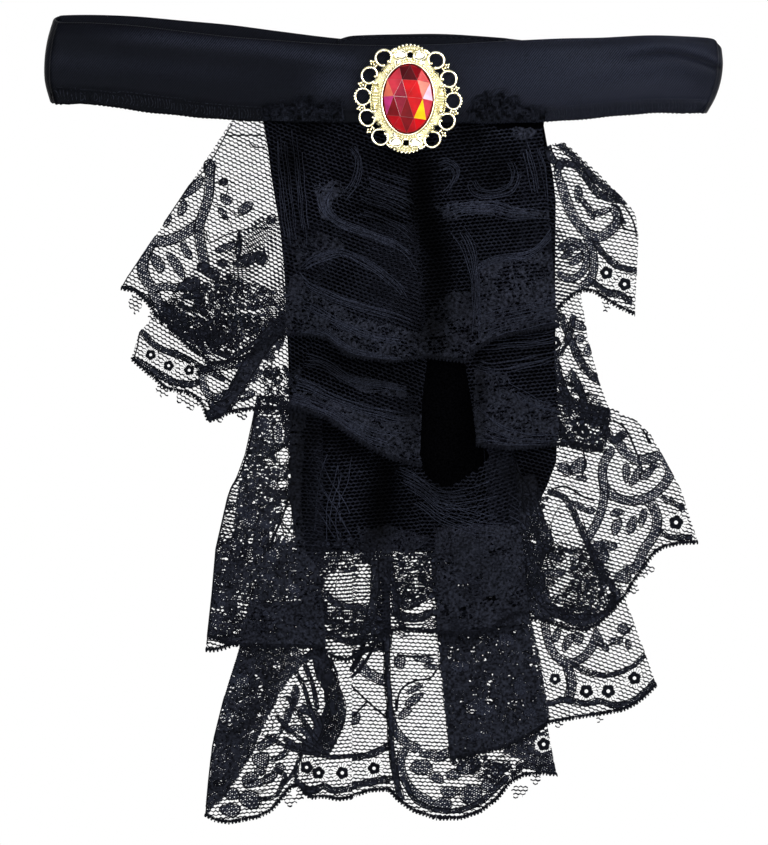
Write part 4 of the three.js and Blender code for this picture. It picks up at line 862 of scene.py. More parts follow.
def lattice(pile, tier, i, row, period, wave, row_w, link_w, keep, lift, turn=0.0, jitter=0.0):
    """Wavy rows and thin links of panel i. keep(s, t) says where; turn rotates the rows in the chart."""
    s0, s1, t0, t1 = tier.bounds(i)
    c, k = math.cos(math.radians(turn)), math.sin(math.radians(turn))
    corners = np.array([(s0, t0), (s1, t0), (s1, t1), (s0, t1)])
    p, q = corners @ [c, k], corners @ [-k, c]
    js = np.arange(math.floor(q.min() / row), math.ceil(q.max() / row) + 1)
    ks = np.arange(math.floor(p.min() / (period / 2)), math.ceil(p.max() / (period / 2)) + 1)
    kk, jj = np.meshgrid(ks, js)
    stagger = (jj % 2) * period / 2
    P = kk * period / 2 + stagger + jitter * rng.standard_normal(kk.shape)
    Q = jj * row + np.where(kk % 2 == 0, wave, -wave) + jitter * rng.standard_normal(kk.shape)
    S, T = P * c - Q * k, P * k + Q * c
    pos, inside, v = tier.place(i, S, T, lift)
    ok = inside & keep(S, T)
    # directions across a row, in the row frame
    o, _, _, e, n = tier.chart(i)
    up = (-k) * e + c * n
    along = c * e + k * n
    across = np.array([up[0], -up[1], 0]) * SQ
    ahead = np.array([along[0], -along[1], 0]) * SQ
    w = row_w * (1 + 0.15 * rng.standard_normal(kk.shape))[..., None]
    rows = np.stack([pos - across * w / 2, pos + across * w / 2], 2)        # J, K, 2, 3
    J, K = kk.shape
    index = np.arange(J * K * 2).reshape(J, K, 2)
    seg = ok[:, :-1] & ok[:, 1:]
    a, b = index[:, :-1][seg], index[:, 1:][seg]
    quads = np.stack([a[:, 0], b[:, 0], b[:, 1], a[:, 1]], 1)
    pile.add(rows.reshape(-1, 3), quads=quads)
    if link_w:
        lower, upper = pos[:-1], pos[1:]
        pick = ok[:-1] & ok[1:] & (kk[:-1] % 2 == 0)
        # row j+1 is staggered by half a period, so its column k - 1 or k + 1 lies over column k
        shift = np.where(jj[:-1] % 2 == 0, -1, 1)
        src = np.clip(np.arange(K)[None, :] + shift, 0, K - 1)
        upper = np.take_along_axis(pos[1:], src[..., None].repeat(3, -1), 1)
        pick &= np.take_along_axis(ok[1:], src, 1)
        lo_, up_ = lower[pick], upper[pick]
        m = len(lo_)
        if m:
            verts = np.stack([lo_ - ahead * link_w / 2, lo_ + ahead * link_w / 2, up_ + ahead * link_w / 2, up_ - ahead * link_w / 2], 1)
            pile.add(verts.reshape(-1, 3), quads=np.arange(m * 4).reshape(m, 4))


def ribbon(pile, pos, ok, across_dir, half_w, rise):
    """A raised cord along points (n, 3): two sloping faces a side of its ridge."""
    if ok.sum() < 2:
        return
    left, right = pos - across_dir * half_w, pos + across_dir * half_w
    ridge = pos + np.array([0, 0, rise])
    verts = np.stack([left, ridge, right], 1)
    n = len(pos)
    index = np.arange(n * 3).reshape(n, 3)
    seg = ok[:-1] & ok[1:]
    a, b = index[:-1][seg], index[1:][seg]
    pile.add(verts.reshape(-1, 3), quads=np.concatenate([
        np.stack([a[:, 0], b[:, 0], b[:, 1], a[:, 1]], 1), np.stack([a[:, 1], b[:, 1], b[:, 2], a[:, 2]], 1)]))


def resample(line, step):
    d = np.concatenate([[0], np.cumsum(np.linalg.norm(np.diff(line, axis=0), axis=1))])
    n = max(2, int(math.ceil(d[-1] / step)) + 1)
    at = np.linspace(0, d[-1], n)
    return np.stack([np.interp(at, d, line[:, 0]), np.interp(at, d, line[:, 1])], 1)


def lay_line(pile, tier, i, line, half_w, lift, rise, above_hem=True):
    pos, inside, v = tier.place(i, line[:, 0], line[:, 1], lift)
    ok = inside.copy()
    if above_hem:
        ok &= line[:, 1] >= hem_line(line[:, 0]) - 1
    if ok.sum() < 2:
        return
    d = np.gradient(pos, axis=0)
    d[:, 2] = 0
    nrm = np.stack([-d[:, 1], d[:, 0], np.zeros(len(d))], 1)
    nrm /= np.maximum(np.linalg.norm(nrm, axis=1), 1e-12)[:, None]
    ribbon(pile, pos, ok, nrm, half_w * SQ, rise * MM)


def dress(tier, name):
    """All of one tier's thread work, in three piles: net, fill and cords."""
    net, fill, cords, dense = Pile(), Pile(), Pile(), Pile()
    for i in range(len(tier.folds) - 1):
        s0, s1, t0, t1 = tier.bounds(i)
        if i in tier.drawn:
            dress_drawn(tier, i, tier.drawn[i], net, fill, cords, dense)
            continue

        def net_keep(s, t):
            hem = hem_line(s)
            fringe = 9 * np.exp(-((half(s) - 60) / 13) ** 2)
            return (t > hem - fringe) & ~look(BARE, s, t)

        lattice(net, tier, i, 3.65, 4.8, 0.55, 1.52, 0.26, net_keep, 0.0, jitter=0.14)
        quiet = i in tier.over and tier.over[i].spec.get("quiet")
        if not quiet:
            lattice(fill, tier, i, 1.95, 2.7, 0.22, 1.6, 1.4, lambda s, t: look(FILL, s, t) & (t > hem_line(s)), 0.18, turn=32, jitter=0.1)
        # cords of every repeat that touches the panel
        for r in () if quiet else range(math.floor((s0 + REPEAT / 2) / REPEAT) - 1, math.ceil((s1 + REPEAT / 2) / REPEAT) + 1):
            shift = np.array([r * REPEAT, 0])
            if s1 < r * REPEAT - REPEAT / 2 - 8 or s0 > r * REPEAT + REPEAT / 2 + 8:
                continue
            for line, w in CORDS:
                lay_line(cords, tier, i, resample(line, 1.8) + shift, w, 0.26, 0.16)
            for fx, fy in FLOWERS:
                for sign in ((1, -1) if fx < 117.9 else (1,)):
                    if fy > hem_line(np.array([r * REPEAT + sign * fx]))[0]:
                        rosette(cords, tier, i, r * REPEAT + sign * fx, fy, 6.2)
        # the edge: a close row of stitches over a cord
        s = np.arange(math.floor(s0) - 2, math.ceil(s1) + 2, 1.75)
        lay_line(cords, tier, i, np.stack([s, hem_line(s) + 1.5], 1), 0.7, 0.2, 0.2, False)
        stitches(cords, tier, i, s, hem_line(s))
        # fold line
        edge(cords, tier, i)
        if i in tier.over:
            tier.in_plan = True
            dress_drawn(tier, i, tier.over[i], None, fill, cords, dense)
            tier.in_plan = False
    return net, fill, cords, dense


def dress_drawn(tier, i, d, net, fill, cords, dense):
    """Panel i's thread work after a drawing, or without net and hem what a drawing adds to it."""
    turn = d.spec["net"]
    if net is not None:
        lattice(net, tier, i, 3.65, 4.8, 0.55, 1.52, 0.26, d.keep("net"), 0.0, turn=turn, jitter=0.14)
    lattice(fill, tier, i, 1.95, 2.7, 0.22, 1.6, 1.4, d.keep("fill"), 0.18, turn=32, jitter=0.1)
    lattice(dense, tier, i, 1.8, 2.6, 0.2, 2.1, 0, d.keep("solid"), 0.12, turn=20, jitter=0.1)
    for line, w, pile in [(*c, cords) for c in d.cords] + [(*c, fill) for c in d.swags]:
        line = resample(line, 1.6) * [1, -1]
        ok = d.keep("cloth")(line[:, 0], line[:, 1])
        if ok.sum() > 1:
            cut = np.flatnonzero(np.diff(np.concatenate([[0], ok.astype(int), [0]])))
            for a, b in zip(cut[::2], cut[1::2]):
                if b - a > 1:
                    lay_line(pile, tier, i, line[a:b], w, 0.30, 0.16, False)
    for x, y, r in d.flowers:
        rosette(cords, tier, i, x, -y, r)
    if net is None:
        return
    hem = resample(d.hem, 1.75) * [1, -1]
    lay_line(cords, tier, i, hem + [0, 1.3], 0.62, 0.2, 0.2, False)
    picots(cords, tier, i, hem)


def picots(pile, tier, i, line):
    """Small thread loops along a line in the plan."""
    d = np.gradient(line, axis=0)
    n = np.stack([-d[:, 1], d[:, 0]], 1)
    n /= np.maximum(np.linalg.norm(n, axis=1), 1e-9)[:, None]
    n *= np.where(n[:, 1:2] > 0, 1, -1)
    lean = np.where(np.arange(len(line)) % 2 == 0, 1.0, -1.0)[:, None]
    out = [tier.place(i, *(line + n * (f if k else np.where(lean > 0, f, f * 0.4)) + lean * g * d / 1.75).T, h)
           for k, f, g, h in ((0, -2.3, .0, .1), (1, .4, .15, .35), (1, 2.6, .1, .12))]
    ok = out[0][1] & out[1][1] & out[2][1]
    if not ok.any():
        return
    a, b, c = (o[0] for o in out)
    t = np.gradient(b, axis=0)
    t[:, 2] = 0
    t /= np.maximum(np.linalg.norm(t, axis=1), 1e-12)[:, None]
    w = np.where(np.arange(len(line)) % 2 == 0, 1.35, 0.8)[:, None] * SQ * (1 + 0.2 * rng.standard_normal((len(line), 1)))
    verts = np.stack([a - t * w * .55, a + t * w * .55, b - t * w, b + t * w, c - t * w * .55, c + t * w * .55, b + [0, 0, .0003]], 1)
    m = np.nonzero(ok)[0]
    idx = np.arange(len(line) * 7).reshape(-1, 7)[m]
    tri = [(0, 1, 6), (1, 3, 6), (3, 5, 6), (5, 4, 6), (4, 2, 6), (2, 0, 6)]
    pile.add(verts.reshape(-1, 3), tris=np.concatenate([idx[:, t_] for t_ in tri]))


def rosette(pile, tier, i, s, t, r):
    """An embroidered flower round an eyelet: an uneven dark ring with petals, and spokes."""
    mid, ok, _ = tier.place(i, np.array([s]), np.array([t]), 0.0)
    if not ok[0]:
        return
    n = 40
    a = np.linspace(0, 2 * np.pi, n, endpoint=False)
    lobes = 0.80 + 0.20 * np.abs(np.sin(a * 2.5 + s))
    rings = [tier.place(i, s + q * np.cos(a) * w_, t + q * np.sin(a) * w_, h)[0]
             for q, w_, h in ((r * 0.26, 1.0, 0.2), (r * 0.40, 1.0, 0.5), (r * 0.70, lobes, 0.5), (r * 1.02, lobes, 0.2))]
    quads = [(k * n + j, k * n + (j + 1) % n, (k + 1) * n + (j + 1) % n, (k + 1) * n + j) for k in range(3) for j in range(n)]
    pile.add(np.concatenate(rings), quads=quads)
    m = 20
    a = np.linspace(0, 2 * np.pi, m, endpoint=False) + 0.1
    pts = []
    for q, f in ((r * 0.8, 0.7), (r * 1.5, 1.0)):
        for side in (-1, 1):
            pts.append(tier.place(i, s + q * np.cos(a) - side * 0.3 * f * np.sin(a), t + q * np.sin(a) + side * 0.3 * f * np.cos(a), 0.08)[0])
    pile.add(np.stack(pts, 1).reshape(-1, 3), quads=np.arange(m * 4).reshape(m, 4)[:, [0, 1, 3, 2]])


def stitches(pile, tier, i, s, t):
    slope = np.gradient(t, s)
    nx, ny = -slope, np.ones_like(slope)
    ln = np.hypot(nx, ny)
    nx, ny = nx / ln, ny / ln
    lean = np.where(np.arange(len(s)) % 2 == 0, 0.55, -0.55)
    out = []
    for f in (-2.5, 0.5, 2.9):
        g = np.where(lean > 0, f, f * 0.4) if f < 0 else f
        out.append(tier.place(i, s + nx * g + ny * lean * f * 0.15, t + ny * g, 0.3 if f == 0.5 else 0.1))
    ok = out[0][1] & out[1][1] & out[2][1]
    d = np.gradient(out[1][0], axis=0)
    d[:, 2] = 0
    d /= np.maximum(np.linalg.norm(d, axis=1), 1e-12)[:, None]
    w = np.where(np.arange(len(s)) % 2 == 0, 1.3, 0.75)[:, None] * SQ
    a, b, c = (o[0] for o in out)
    verts = np.stack([a - d * w * .6, a + d * w * .6, b - d * w, b + d * w, c - d * w * .6, c + d * w * .6, b + [0, 0, .0003]], 1)
    m = np.nonzero(ok)[0]
    idx = np.arange(len(s) * 7).reshape(-1, 7)[m]
    tri = [(0, 1, 6), (1, 3, 6), (3, 5, 6), (5, 4, 6), (4, 2, 6), (2, 0, 6)]
    pile.add(verts.reshape(-1, 3), tris=np.concatenate([idx[:, t_] for t_ in tri]) if len(m) else None)


def edge(pile, tier, i):
    """The rolled fold where panel i doubles back into the next."""
    n = len(tier.folds)
    for at, u in ((i, 0.0), (i + 1, 1.0)):
        fold = tier.folds[at]
        turn = fold[8]
        if at not in (0, n - 1) and not (turn and at == i + 1):
            continue
        if at in (0, n - 1):
            continue
        deep = math.hypot(fold[0] - fold[2], fold[1] - fold[3])
        v = np.linspace(0.02, 1, 70)
        x, y = tier.lines[at](v)
        o, s0, t0, e, nn = tier.chart(i)
        t = t0 + (x - o[0]) * nn[0] + (y - o[1]) * nn[1]
        s = s0 + (x - o[0]) * e[0] + (y - o[1]) * e[1]
        ok = t > hem_line(s)
        z1 = tier.height(i, np.ones_like(v), v, x, y)
        z2 = tier.height(i + 1, np.zeros_like(v), v, x, y)
        a, b = tier.lines[i](v), tier.lines[i + 1](v)
        out = np.stack([b[0] - a[0], b[1] - a[1]], 1)
        out /= np.maximum(np.linalg.norm(out, axis=1), 1e-9)[:, None]
        cols = []
        for k in range(5):
            ang = -math.pi / 2 + math.pi * k / 4
            push = 1.0 * math.cos(ang) - 0.6
            zz = mix(z1, z2, 0.5 + 0.5 * math.sin(ang))
            cols.append(np.stack([to_x(x + out[:, 0] * push), to_y(y + out[:, 1] * push), zz * MM], 1))
        verts = np.stack(cols, 1)
        idx = np.arange(len(v) * 5).reshape(-1, 5)
        seg = np.nonzero(ok[:-1] & ok[1:])[0]
        quads = np.concatenate([np.stack([idx[seg, k], idx[seg + 1, k], idx[seg + 1, k + 1], idx[seg, k + 1]], 1) for k in range(4)])
        pile.add(verts.reshape(-1, 3), quads=quads)


PANEL = [(112, 262, 545, 8.8), (126, 264, 543.5, 8.8), (150, 268, 548, 7.0), (175, 271, 553, 4.2), (200, 275, 556, 1.9), (226, 279.5, 556, .6),
         (269, 284, 555.5, .6), (358, 288, 556, .6), (422, 289, 558, .6), (462, 290, 556.6, .6), (487, 290.5, 547, .6), (511, 291, 535, .6),
         (552, 297, 503, .6)]
panel_grid = np.array([[(*plan(row[1 + side], row[0]), row[3]) for row in PANEL] for side in (0, 1)], float)
pile_up(panel_grid, 1.2)

# painted shade and painted highlights on the lace, where the gathers hide from the light or catch it: x, y, half width,
# half height, tilt clockwise, and how much
SHADES = {
    "1": [(422, 190, 15, 42, 0, -.9), (432, 238, 18, 38, -10, -.88), (438, 290, 17, 42, 0, -.78), (430, 335, 20, 26, 0, -.6), (398, 163, 40, 16, 0, -.5), (378, 212, 28, 13, 25, -.55), (290, 160, 17, 24, 0, -.65),
          (312, 128, 24, 10, 0, -.6), (492, 172, 25, 19, 0, -.45), (470, 135, 18, 15, 0, -.6), (468, 300, 12, 34, 0, -.35), (350, 318, 62, 22, 14, .3), (515, 282, 42, 42, 0, .3), (492, 206, 55, 9, 0, .6),
          (322, 196, 14, 27, 10, .5), (517, 132, 19, 10, 0, .9), (330, 258, 36, 12, 0, .3)],
    "2_left": [(350, 368, 74, 13, 10, -.6), (352, 420, 66, 16, 22, .25), (410, 400, 12, 50, 0, -.4)],
    "2_right": [(479, 395, 9, 60, 0, -.5), (522, 415, 32, 32, 0, .2), (520, 352, 40, 10, 0, -.3)],
    "3": [(298, 470, 20, 62, 0, -.6), (382, 500, 17, 58, 8, -.92), (335, 440, 46, 14, 25, -.55), (525, 478, 26, 24, 0, -.6), (470, 512, 42, 16, 15, .3), (440, 492, 30, 12, 10, -.5), (345, 505, 20, 40, 0, .25)],
    "4": [(330, 705, 14, 52, 5, -.45), (262, 690, 16, 60, 25, -.3)]}


def shade(key, mesh):
    """How bright a tier's threads are, as a value at each point: painted shade and painted highlights of the gathers,
    and a soft wavy lightening and darkening all over.
    """
    at = np.empty(len(mesh.vertices) * 3, np.float32)
    mesh.vertices.foreach_get("co", at)
    x, y = (at[0::3] - OX) / SQ, (OY - at[1::3]) / SQ
    s = np.ones(len(x))
    for cx, cy, rx, ry, tilt, much in SHADES.get(key, []):
        c, m = math.cos(math.radians(tilt)), math.sin(math.radians(tilt))
        u, w = ((x - cx) * c + (y - cy) * m) / rx, (-(x - cx) * m + (y - cy) * c) / ry
        s *= 1 + much * np.exp(-(u * u + w * w) ** 1.5)
    s *= 1 + 0.16 * np.sin(x / 11 + 1.6 * np.sin(y / 17)) * np.sin(y / 8 + x / 31)
    mesh.attributes.new("shade", "FLOAT", "POINT").data.foreach_set("value", s.astype(np.float32))


# the shade attribute scales each thread's base colour: painted shade and painted highlights
for m in (net_m, fill_m, cord_m, dense_m):
    t = m.node_tree
    b = t.nodes["Principled BSDF"]
    tone = t.nodes.new("ShaderNodeAttribute")
    tone.attribute_name = "shade"
    painted_shade_scale = t.nodes.new("ShaderNodeVectorMath")
    painted_shade_scale.operation = "SCALE"
    t.links.new(b.inputs["Base Color"].links[0].from_socket, painted_shade_scale.inputs[0])
    t.links.new(tone.outputs["Fac"], painted_shade_scale.inputs["Scale"])
    t.links.new(painted_shade_scale.outputs["Vector"], b.inputs["Base Color"])

pieces = {}
for key in ("4", "3", "2_left", "2_right", "1"):
    tier = Tier(TIERS[key], [Drawing(d, 11 + n) for n, d in enumerate(DRAWN.get(key, []))])
    pile_up(tier.cad_grid(), LACE)
    net, fill, cords, dense = dress(tier, key)
    print("tier", key, net.triangles(), fill.triangles(), cords.triangles())
    o1 = net.make(f"lace_net_{key}", net_m)
    o2 = fill.make(f"lace_fill_{key}", fill_m)
    o3 = cords.make(f"lace_cords_{key}", cord_m)
    pieces[key] = (o1, o2, o3)
    if dense.n:
        pieces[key] += (dense.make(f"lace_dense_{key}", dense_m),)
    for o in pieces[key]:
        shade(key, o.data)
    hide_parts(f"lace_tier_{key}")

loop_m, b = material("fastener_loops", (0.008, 0.008, 0.009), rough=0.9, spec=0.1)
add_noise(loop_m, b, 1600, (0.003, 0.003, 0.0035), (0.016, 0.016, 0.018), bump=0.9)
for name, m, slot in (("back_panel", velvet_m, "velvet"), ("touch_fastener", loop_m, "fastener")):
    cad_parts[name].data.materials.clear()
    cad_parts[name].data.materials.append(m)

# ------------------------------------------------------------------ neck band
# The CAD's columns round the flattened loop: x, top, low in squares, z in mm.
BEHIND = [(500, 52, 121, .6), (420, 45, 121, .6), (336, 37.4, 119, .6), (276, 30, 115, .6), (230, 24, 110, .6),
          (180, 19.5, 106, .6), (135, 15.5, 101, .6), (95, 14, 99, .6)]
FRONT = [(95, 23.5, 105.5, 10.4), (138, 26.5, 112, 10.9), (183, 32, 117, 11.4), (230, 37.5, 121, 11.8), (276, 41, 123, 11.8),
         (328, 44.6, 124, 11.8), (379, 46, 124.5, 11.8), (440, 45, 124.5, 11.8), (500, 42, 124.5, 11.8), (560, 39.2, 122, 11.8),
         (600, 38.3, 118.6, 11.4), (645, 36, 114.5, 10.9), (678, 36.5, 114, 10.4)]
BEHIND_AGAIN = [(678, 41, 111, .6), (620, 41, 113, .6), (560, 41, 117, .6), (530, 40, 118, .7), (512, 38.5, 118, 2.9),
                (498, 37, 118, 3.25), (445, 33.6, 116, 3.25), (400, 33.8, 114, 3.25), (359, 34.9, 113, 3.25), (347, 36.3, 112, 3.25), (338, 39.5, 110, 3.2)]
END_LEFT, END_RIGHT = (55, 49, 46, 46.4, 52), (720, 721.4, 719.4, 714, 704.8)
PILLOW = (-0.9, 0, 0.5, 0.3, 0)


def band_columns():
    cols = []

    def straight(rows, crown):
        for x, top, low, z in rows:
            cols.append([(x, mix(top, low, k / 4), z + crown * PILLOW[k]) for k in range(5)])

    def turn(a, b, ends, left):
        for angle in (-68, -40, -13, 13, 40, 68):
            r = math.radians(angle)
            rise = 0.5 + 0.5 * math.sin(r) * (1 if left else -1)
            low, high = (a, b) if left else (b, a)
            near = math.cos(r) ** 1.5
            drop = near * (0.0 if left else 8.5)
            raise_ = near * (0.0 if left else 1.0)
            cols.append([(mix(low[0], ends[k], 0.62 + 0.38 * math.cos(r)),
                          mix(mix(low[1], high[1], rise) + drop, mix(low[2], high[2], rise) + raise_, k / 4),
                          mix(low[3], high[3], rise) + rise * PILLOW[k] * 0.8) for k in range(5)])

    straight(BEHIND, 0)
    turn(BEHIND[-1], FRONT[0], END_LEFT, True)
    straight(FRONT, 1)
    turn(FRONT[-1], BEHIND_AGAIN[0], END_RIGHT, False)
    straight(BEHIND_AGAIN, 0)
    return np.array(cols, float)


def smooth_at(rows, at):
    """Rows of values looked up between them on a smooth curve (Catmull-Rom)."""
    n = len(rows)
    i = np.clip(np.floor(at).astype(int), 0, n - 2)
    t = (at - i).reshape(-1, *([1] * (rows.ndim - 1)))
    a, b, c, d = rows[np.maximum(i - 1, 0)], rows[i], rows[i + 1], rows[np.minimum(i + 2, n - 1)]
    return 0.5 * (2 * b + (c - a) * t + (2 * a - 5 * b + 4 * c - d) * t * t + (3 * b - a - 3 * c + d) * t ** 3)


def bell(d, w):
    return np.exp(-(d / w) ** 2)


SEAM = ((46, 86.5), (60, 88), (135, 94), (230, 107), (328, 111), (440, 111.5), (560, 107), (600, 103.6), (660, 99.6), (699, 101), (720, 103))


def make_band():
    cols = band_columns()
    # fine columns: many on the front and its ends, few behind
    at = np.concatenate([np.linspace(0, 7, 40, endpoint=False), np.linspace(7, 14, 60, endpoint=False), np.linspace(14, 26, 330, endpoint=False),
                         np.linspace(26, 33, 60, endpoint=False), np.linspace(33, len(cols) - 1, 90)])
    grid = smooth_at(cols, at)                                          # columns, 5, 3
    m = 46
    edge_f = np.linspace(0, 1, m)
    edge_f = 0.5 - 0.5 * np.cos(np.pi * edge_f) * (1 - 0.25 * np.sin(np.pi * edge_f) ** 2)
    g = smooth_at(np.moveaxis(grid, 1, 0), edge_f * 4)
    g = np.moveaxis(g, 0, 1).copy()                                     # columns, m, 3
    x, y, z = g[..., 0].copy(), g[..., 1].copy(), g[..., 2].copy()
    front = soft((at - 9.5) / 3) * soft((30.5 - at) / 3)
    f = front[:, None]
    seam = np.interp(x, *zip(*SEAM))
    below = y - seam
    # long soft swells and wrinkles of the satin
    dz = 0.22 * np.sin(x / 47 + y / 21) + 0.16 * np.sin(x / 23 - y / 13 + 1.3)
    dz += 0.55 * bell(y - np.interp(x, (60, 140, 230, 330, 380, 420), (36, 36.5, 46, 53, 55, 55)), 8) * soft((430 - x) / 90)
    dz -= 0.5 * bell(y - np.interp(x, (60, 200, 300, 345, 420), (60, 68, 74, 70, 66)), 11) * soft((420 - x) / 80)
    dz += 0.6 * bell(y - np.interp(x, (60, 200, 300, 345, 420), (84, 90, 92, 86, 82)), 11) * soft((400 - x) / 60) * soft((x - 230) / 90)
    # creases near the right end
    crease = np.interp(x, (600, 640, 660, 679, 700, 722), (64, 56, 53, 53.5, 60, 70))
    strong = soft((x - 600) / 60)
    dz += strong * (-0.85 * bell(y - crease, 3.2) + 0.75 * bell(y - crease + 7, 5) + 0.35 * bell(y - crease - 9, 6))
    crease2 = np.interp(x, (560, 620, 680, 722), (76, 70, 66, 80))
    dz += 0.4 * soft((x - 560) / 50) * soft((722 - x) / 40) * (bell(y - crease2, 7) - 0.5 * bell(y - crease2 - 14, 7))
    dz -= 0.35 * bell(y - np.interp(x, (480, 560, 640, 700), (58, 50, 43, 44)), 5) * soft((x - 470) / 60)
    # the hem: a stitched groove, then an overlocked edge
    hem_z = -0.42 * bell(below, 1.5) + 0.18 * bell(below - 3.2, 2.2) + 0.10 * np.sin(x * 2 * math.pi / 3.4) * soft((below - 2.5) / 2)
    hem_z += 0.16 * np.sin((x + 1.4 * y) * 2 * math.pi / 6.3) * soft((below - 1) / 2)
    hem_z += 0.2 * np.sin(x / 9.0 + 2 * np.sin(x / 31)) * soft((below + 6) / 8)
    z += f * (dz + hem_z)
    # the low edge's scallops of thread
    k = np.arange(m)[None, :] / (m - 1)
    y += f * soft((k - 0.86) / 0.14) * (0.55 * np.sin(x * 2 * math.pi / 4.3) + 0.35 * np.sin(x / 7.7 + 1) - 0.3)
    # the edge that shows behind: a row of stitches under its fold
    rear = (1 - f) * (at[:, None] > 33)
    z += rear * (-0.3 * bell(y - np.interp(x, (340, 400, 445, 500), (39.5, 37.5, 37.2, 40.5)), 0.9))
    # painted sheen and painted shade of the satin: dull at the left, soft bright streaks painted along the folds and by
    # the brooch, a painted shadow line near the top at the right, painted shade in the right crease, darker towards the
    # hem
    painted_light = np.interp(x, (46, 120, 300, 400, 480, 560, 690, 722), (0.36, 0.32, 0.40, 0.62, 1.16, 1.38, 1.30, 0.86))
    painted_light += 0.95 * bell(y - np.interp(x, (60, 157, 259, 314, 380), (33, 39, 48.5, 57, 66)), 6.5) * soft((x - 70) / 110) * soft((385 - x) / 50)
    painted_light += 0.9 * bell(y - 84, 16) * bell(x - 336, 24)
    painted_light += 0.35 * bell(y - np.interp(x, (46, 150, 300), (60, 68, 82)), 9) * soft((300 - x) / 120)
    painted_light += 0.40 * bell(y - 74, 20) * soft((x - 440) / 60) * soft((700 - x) / 60)
    painted_light *= 1 - 0.55 * bell(y - crease, 3.6) * strong
    painted_light += 0.55 * bell(y - crease + 8, 5) * strong
    painted_light *= 1 - 0.45 * soft((below + 7) / 7) * soft((500 - x) / 80)
    painted_light *= 1 - 0.35 * bell(y - np.interp(x, (470, 560, 640), (46, 45, 42)), 4) * soft((x - 440) / 60)
    painted_light *= 1 - 0.42 * soft((below + 1) / 3)
    painted_light = mix(0.42, painted_light, f)
    P = np.stack([to_x(x), to_y(y), z * MM], -1)
    du, dv = np.gradient(P, axis=0), np.gradient(P, axis=1)
    n = np.cross(du, dv)
    n /= np.maximum(np.linalg.norm(n, axis=-1), 1e-12)[..., None]
    run = np.concatenate([np.zeros((len(at), 1)), np.cumsum(np.linalg.norm(np.diff(P, axis=1), axis=-1), axis=1)], 1)
    away = np.minimum(run, run[:, -1:] - run)
    h = 0.0006 * np.sqrt(np.clip(1 - (1 - np.clip(away / 0.0009, 0, 1)) ** 2, 0.01, 1))
    h[0], h[-1] = h[0] * 0.3, h[-1] * 0.3
    upper, lower = P + n * h[..., None], P - n * h[..., None]
    pile = Pile()
    A, B = len(at), m
    idx = np.arange(A * B).reshape(A, B)
    q = np.stack([idx[:-1, :-1], idx[1:, :-1], idx[1:, 1:], idx[:-1, 1:]], -1).reshape(-1, 4)
    q2 = q[:, ::-1] + A * B
    side = []
    for j in (0, B - 1):
        a, b = idx[:-1, j], idx[1:, j]
        c, d = b + A * B, a + A * B
        side.append(np.stack([a, d, c, b] if j == 0 else [a, b, c, d], -1))
    for i in (0, A - 1):
        a, b = idx[i, :-1], idx[i, 1:]
        c, d = b + A * B, a + A * B
        side.append(np.stack([a, b, c, d] if i == 0 else [a, d, c, b], -1))
    pile.add(np.concatenate([upper.reshape(-1, 3), lower.reshape(-1, 3)]), quads=np.concatenate([q, q2, *side]))
    return pile, P, n, at, np.concatenate([painted_light.ravel(), painted_light.ravel()])


satin_m, b = material("satin", (0.0032, 0.0034, 0.0050), rough=0.36, spec=0.035)
b.inputs["Specular Tint"].default_value = (0.72, 0.80, 1.0, 1)
t = satin_m.node_tree
co = t.nodes.new("ShaderNodeTexCoord")
mp = t.nodes.new("ShaderNodeMapping")
mp.inputs["Rotation"].default_value = (0, 0, math.radians(38))
t.links.new(co.outputs["Object"], mp.inputs["Vector"])
wv = t.nodes.new("ShaderNodeTexWave")
wv.inputs["Scale"].default_value = 430
wv.inputs["Distortion"].default_value = 2.2
wv.inputs["Detail"].default_value = 2
t.links.new(mp.outputs["Vector"], wv.inputs["Vector"])
ns = t.nodes.new("ShaderNodeTexNoise")
ns.inputs["Scale"].default_value = 1100
ns.inputs["Detail"].default_value = 3
t.links.new(co.outputs["Object"], ns.inputs["Vector"])
mx = t.nodes.new("ShaderNodeMath")
mx.operation = "MULTIPLY"
t.links.new(wv.outputs["Fac"], mx.inputs[0])
t.links.new(ns.outputs["Fac"], mx.inputs[1])
bp = t.nodes.new("ShaderNodeBump")
bp.inputs["Strength"].default_value = 0.6
bp.inputs["Distance"].default_value = 0.00015
t.links.new(mx.outputs[0], bp.inputs["Height"])
t.links.new(bp.outputs["Normal"], b.inputs["Normal"])
rp = t.nodes.new("ShaderNodeValToRGB")
rp.color_ramp.elements[0].position = 0.08
rp.color_ramp.elements[0].color = (0.0004, 0.0005, 0.0010, 1)
rp.color_ramp.elements[1].position = 0.50
rp.color_ramp.elements[1].color = (0.0105, 0.0118, 0.0190, 1)
t.links.new(mx.outputs[0], rp.inputs["Fac"])
# the band's point attribute scales the satin's colour: painted sheen and painted shade
painted_light_node = t.nodes.new("ShaderNodeAttribute")
painted_light_node.attribute_name = "painted_light"
painted_light_scale = t.nodes.new("ShaderNodeVectorMath")
painted_light_scale.operation = "SCALE"
t.links.new(rp.outputs["Color"], painted_light_scale.inputs[0])
t.links.new(painted_light_node.outputs["Fac"], painted_light_scale.inputs["Scale"])
t.links.new(painted_light_scale.outputs["Vector"], b.inputs["Base Color"])

band_pile, band_P, band_n, band_at, band_painted_light = make_band()
band = band_pile.make("satin_band", satin_m, smooth=True)
# the satin's painted sheen and shade, kept as a point attribute
band.data.attributes.new("painted_light", "FLOAT", "POINT").data.foreach_set("value", band_painted_light.astype(np.float32))
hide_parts("neck_band")


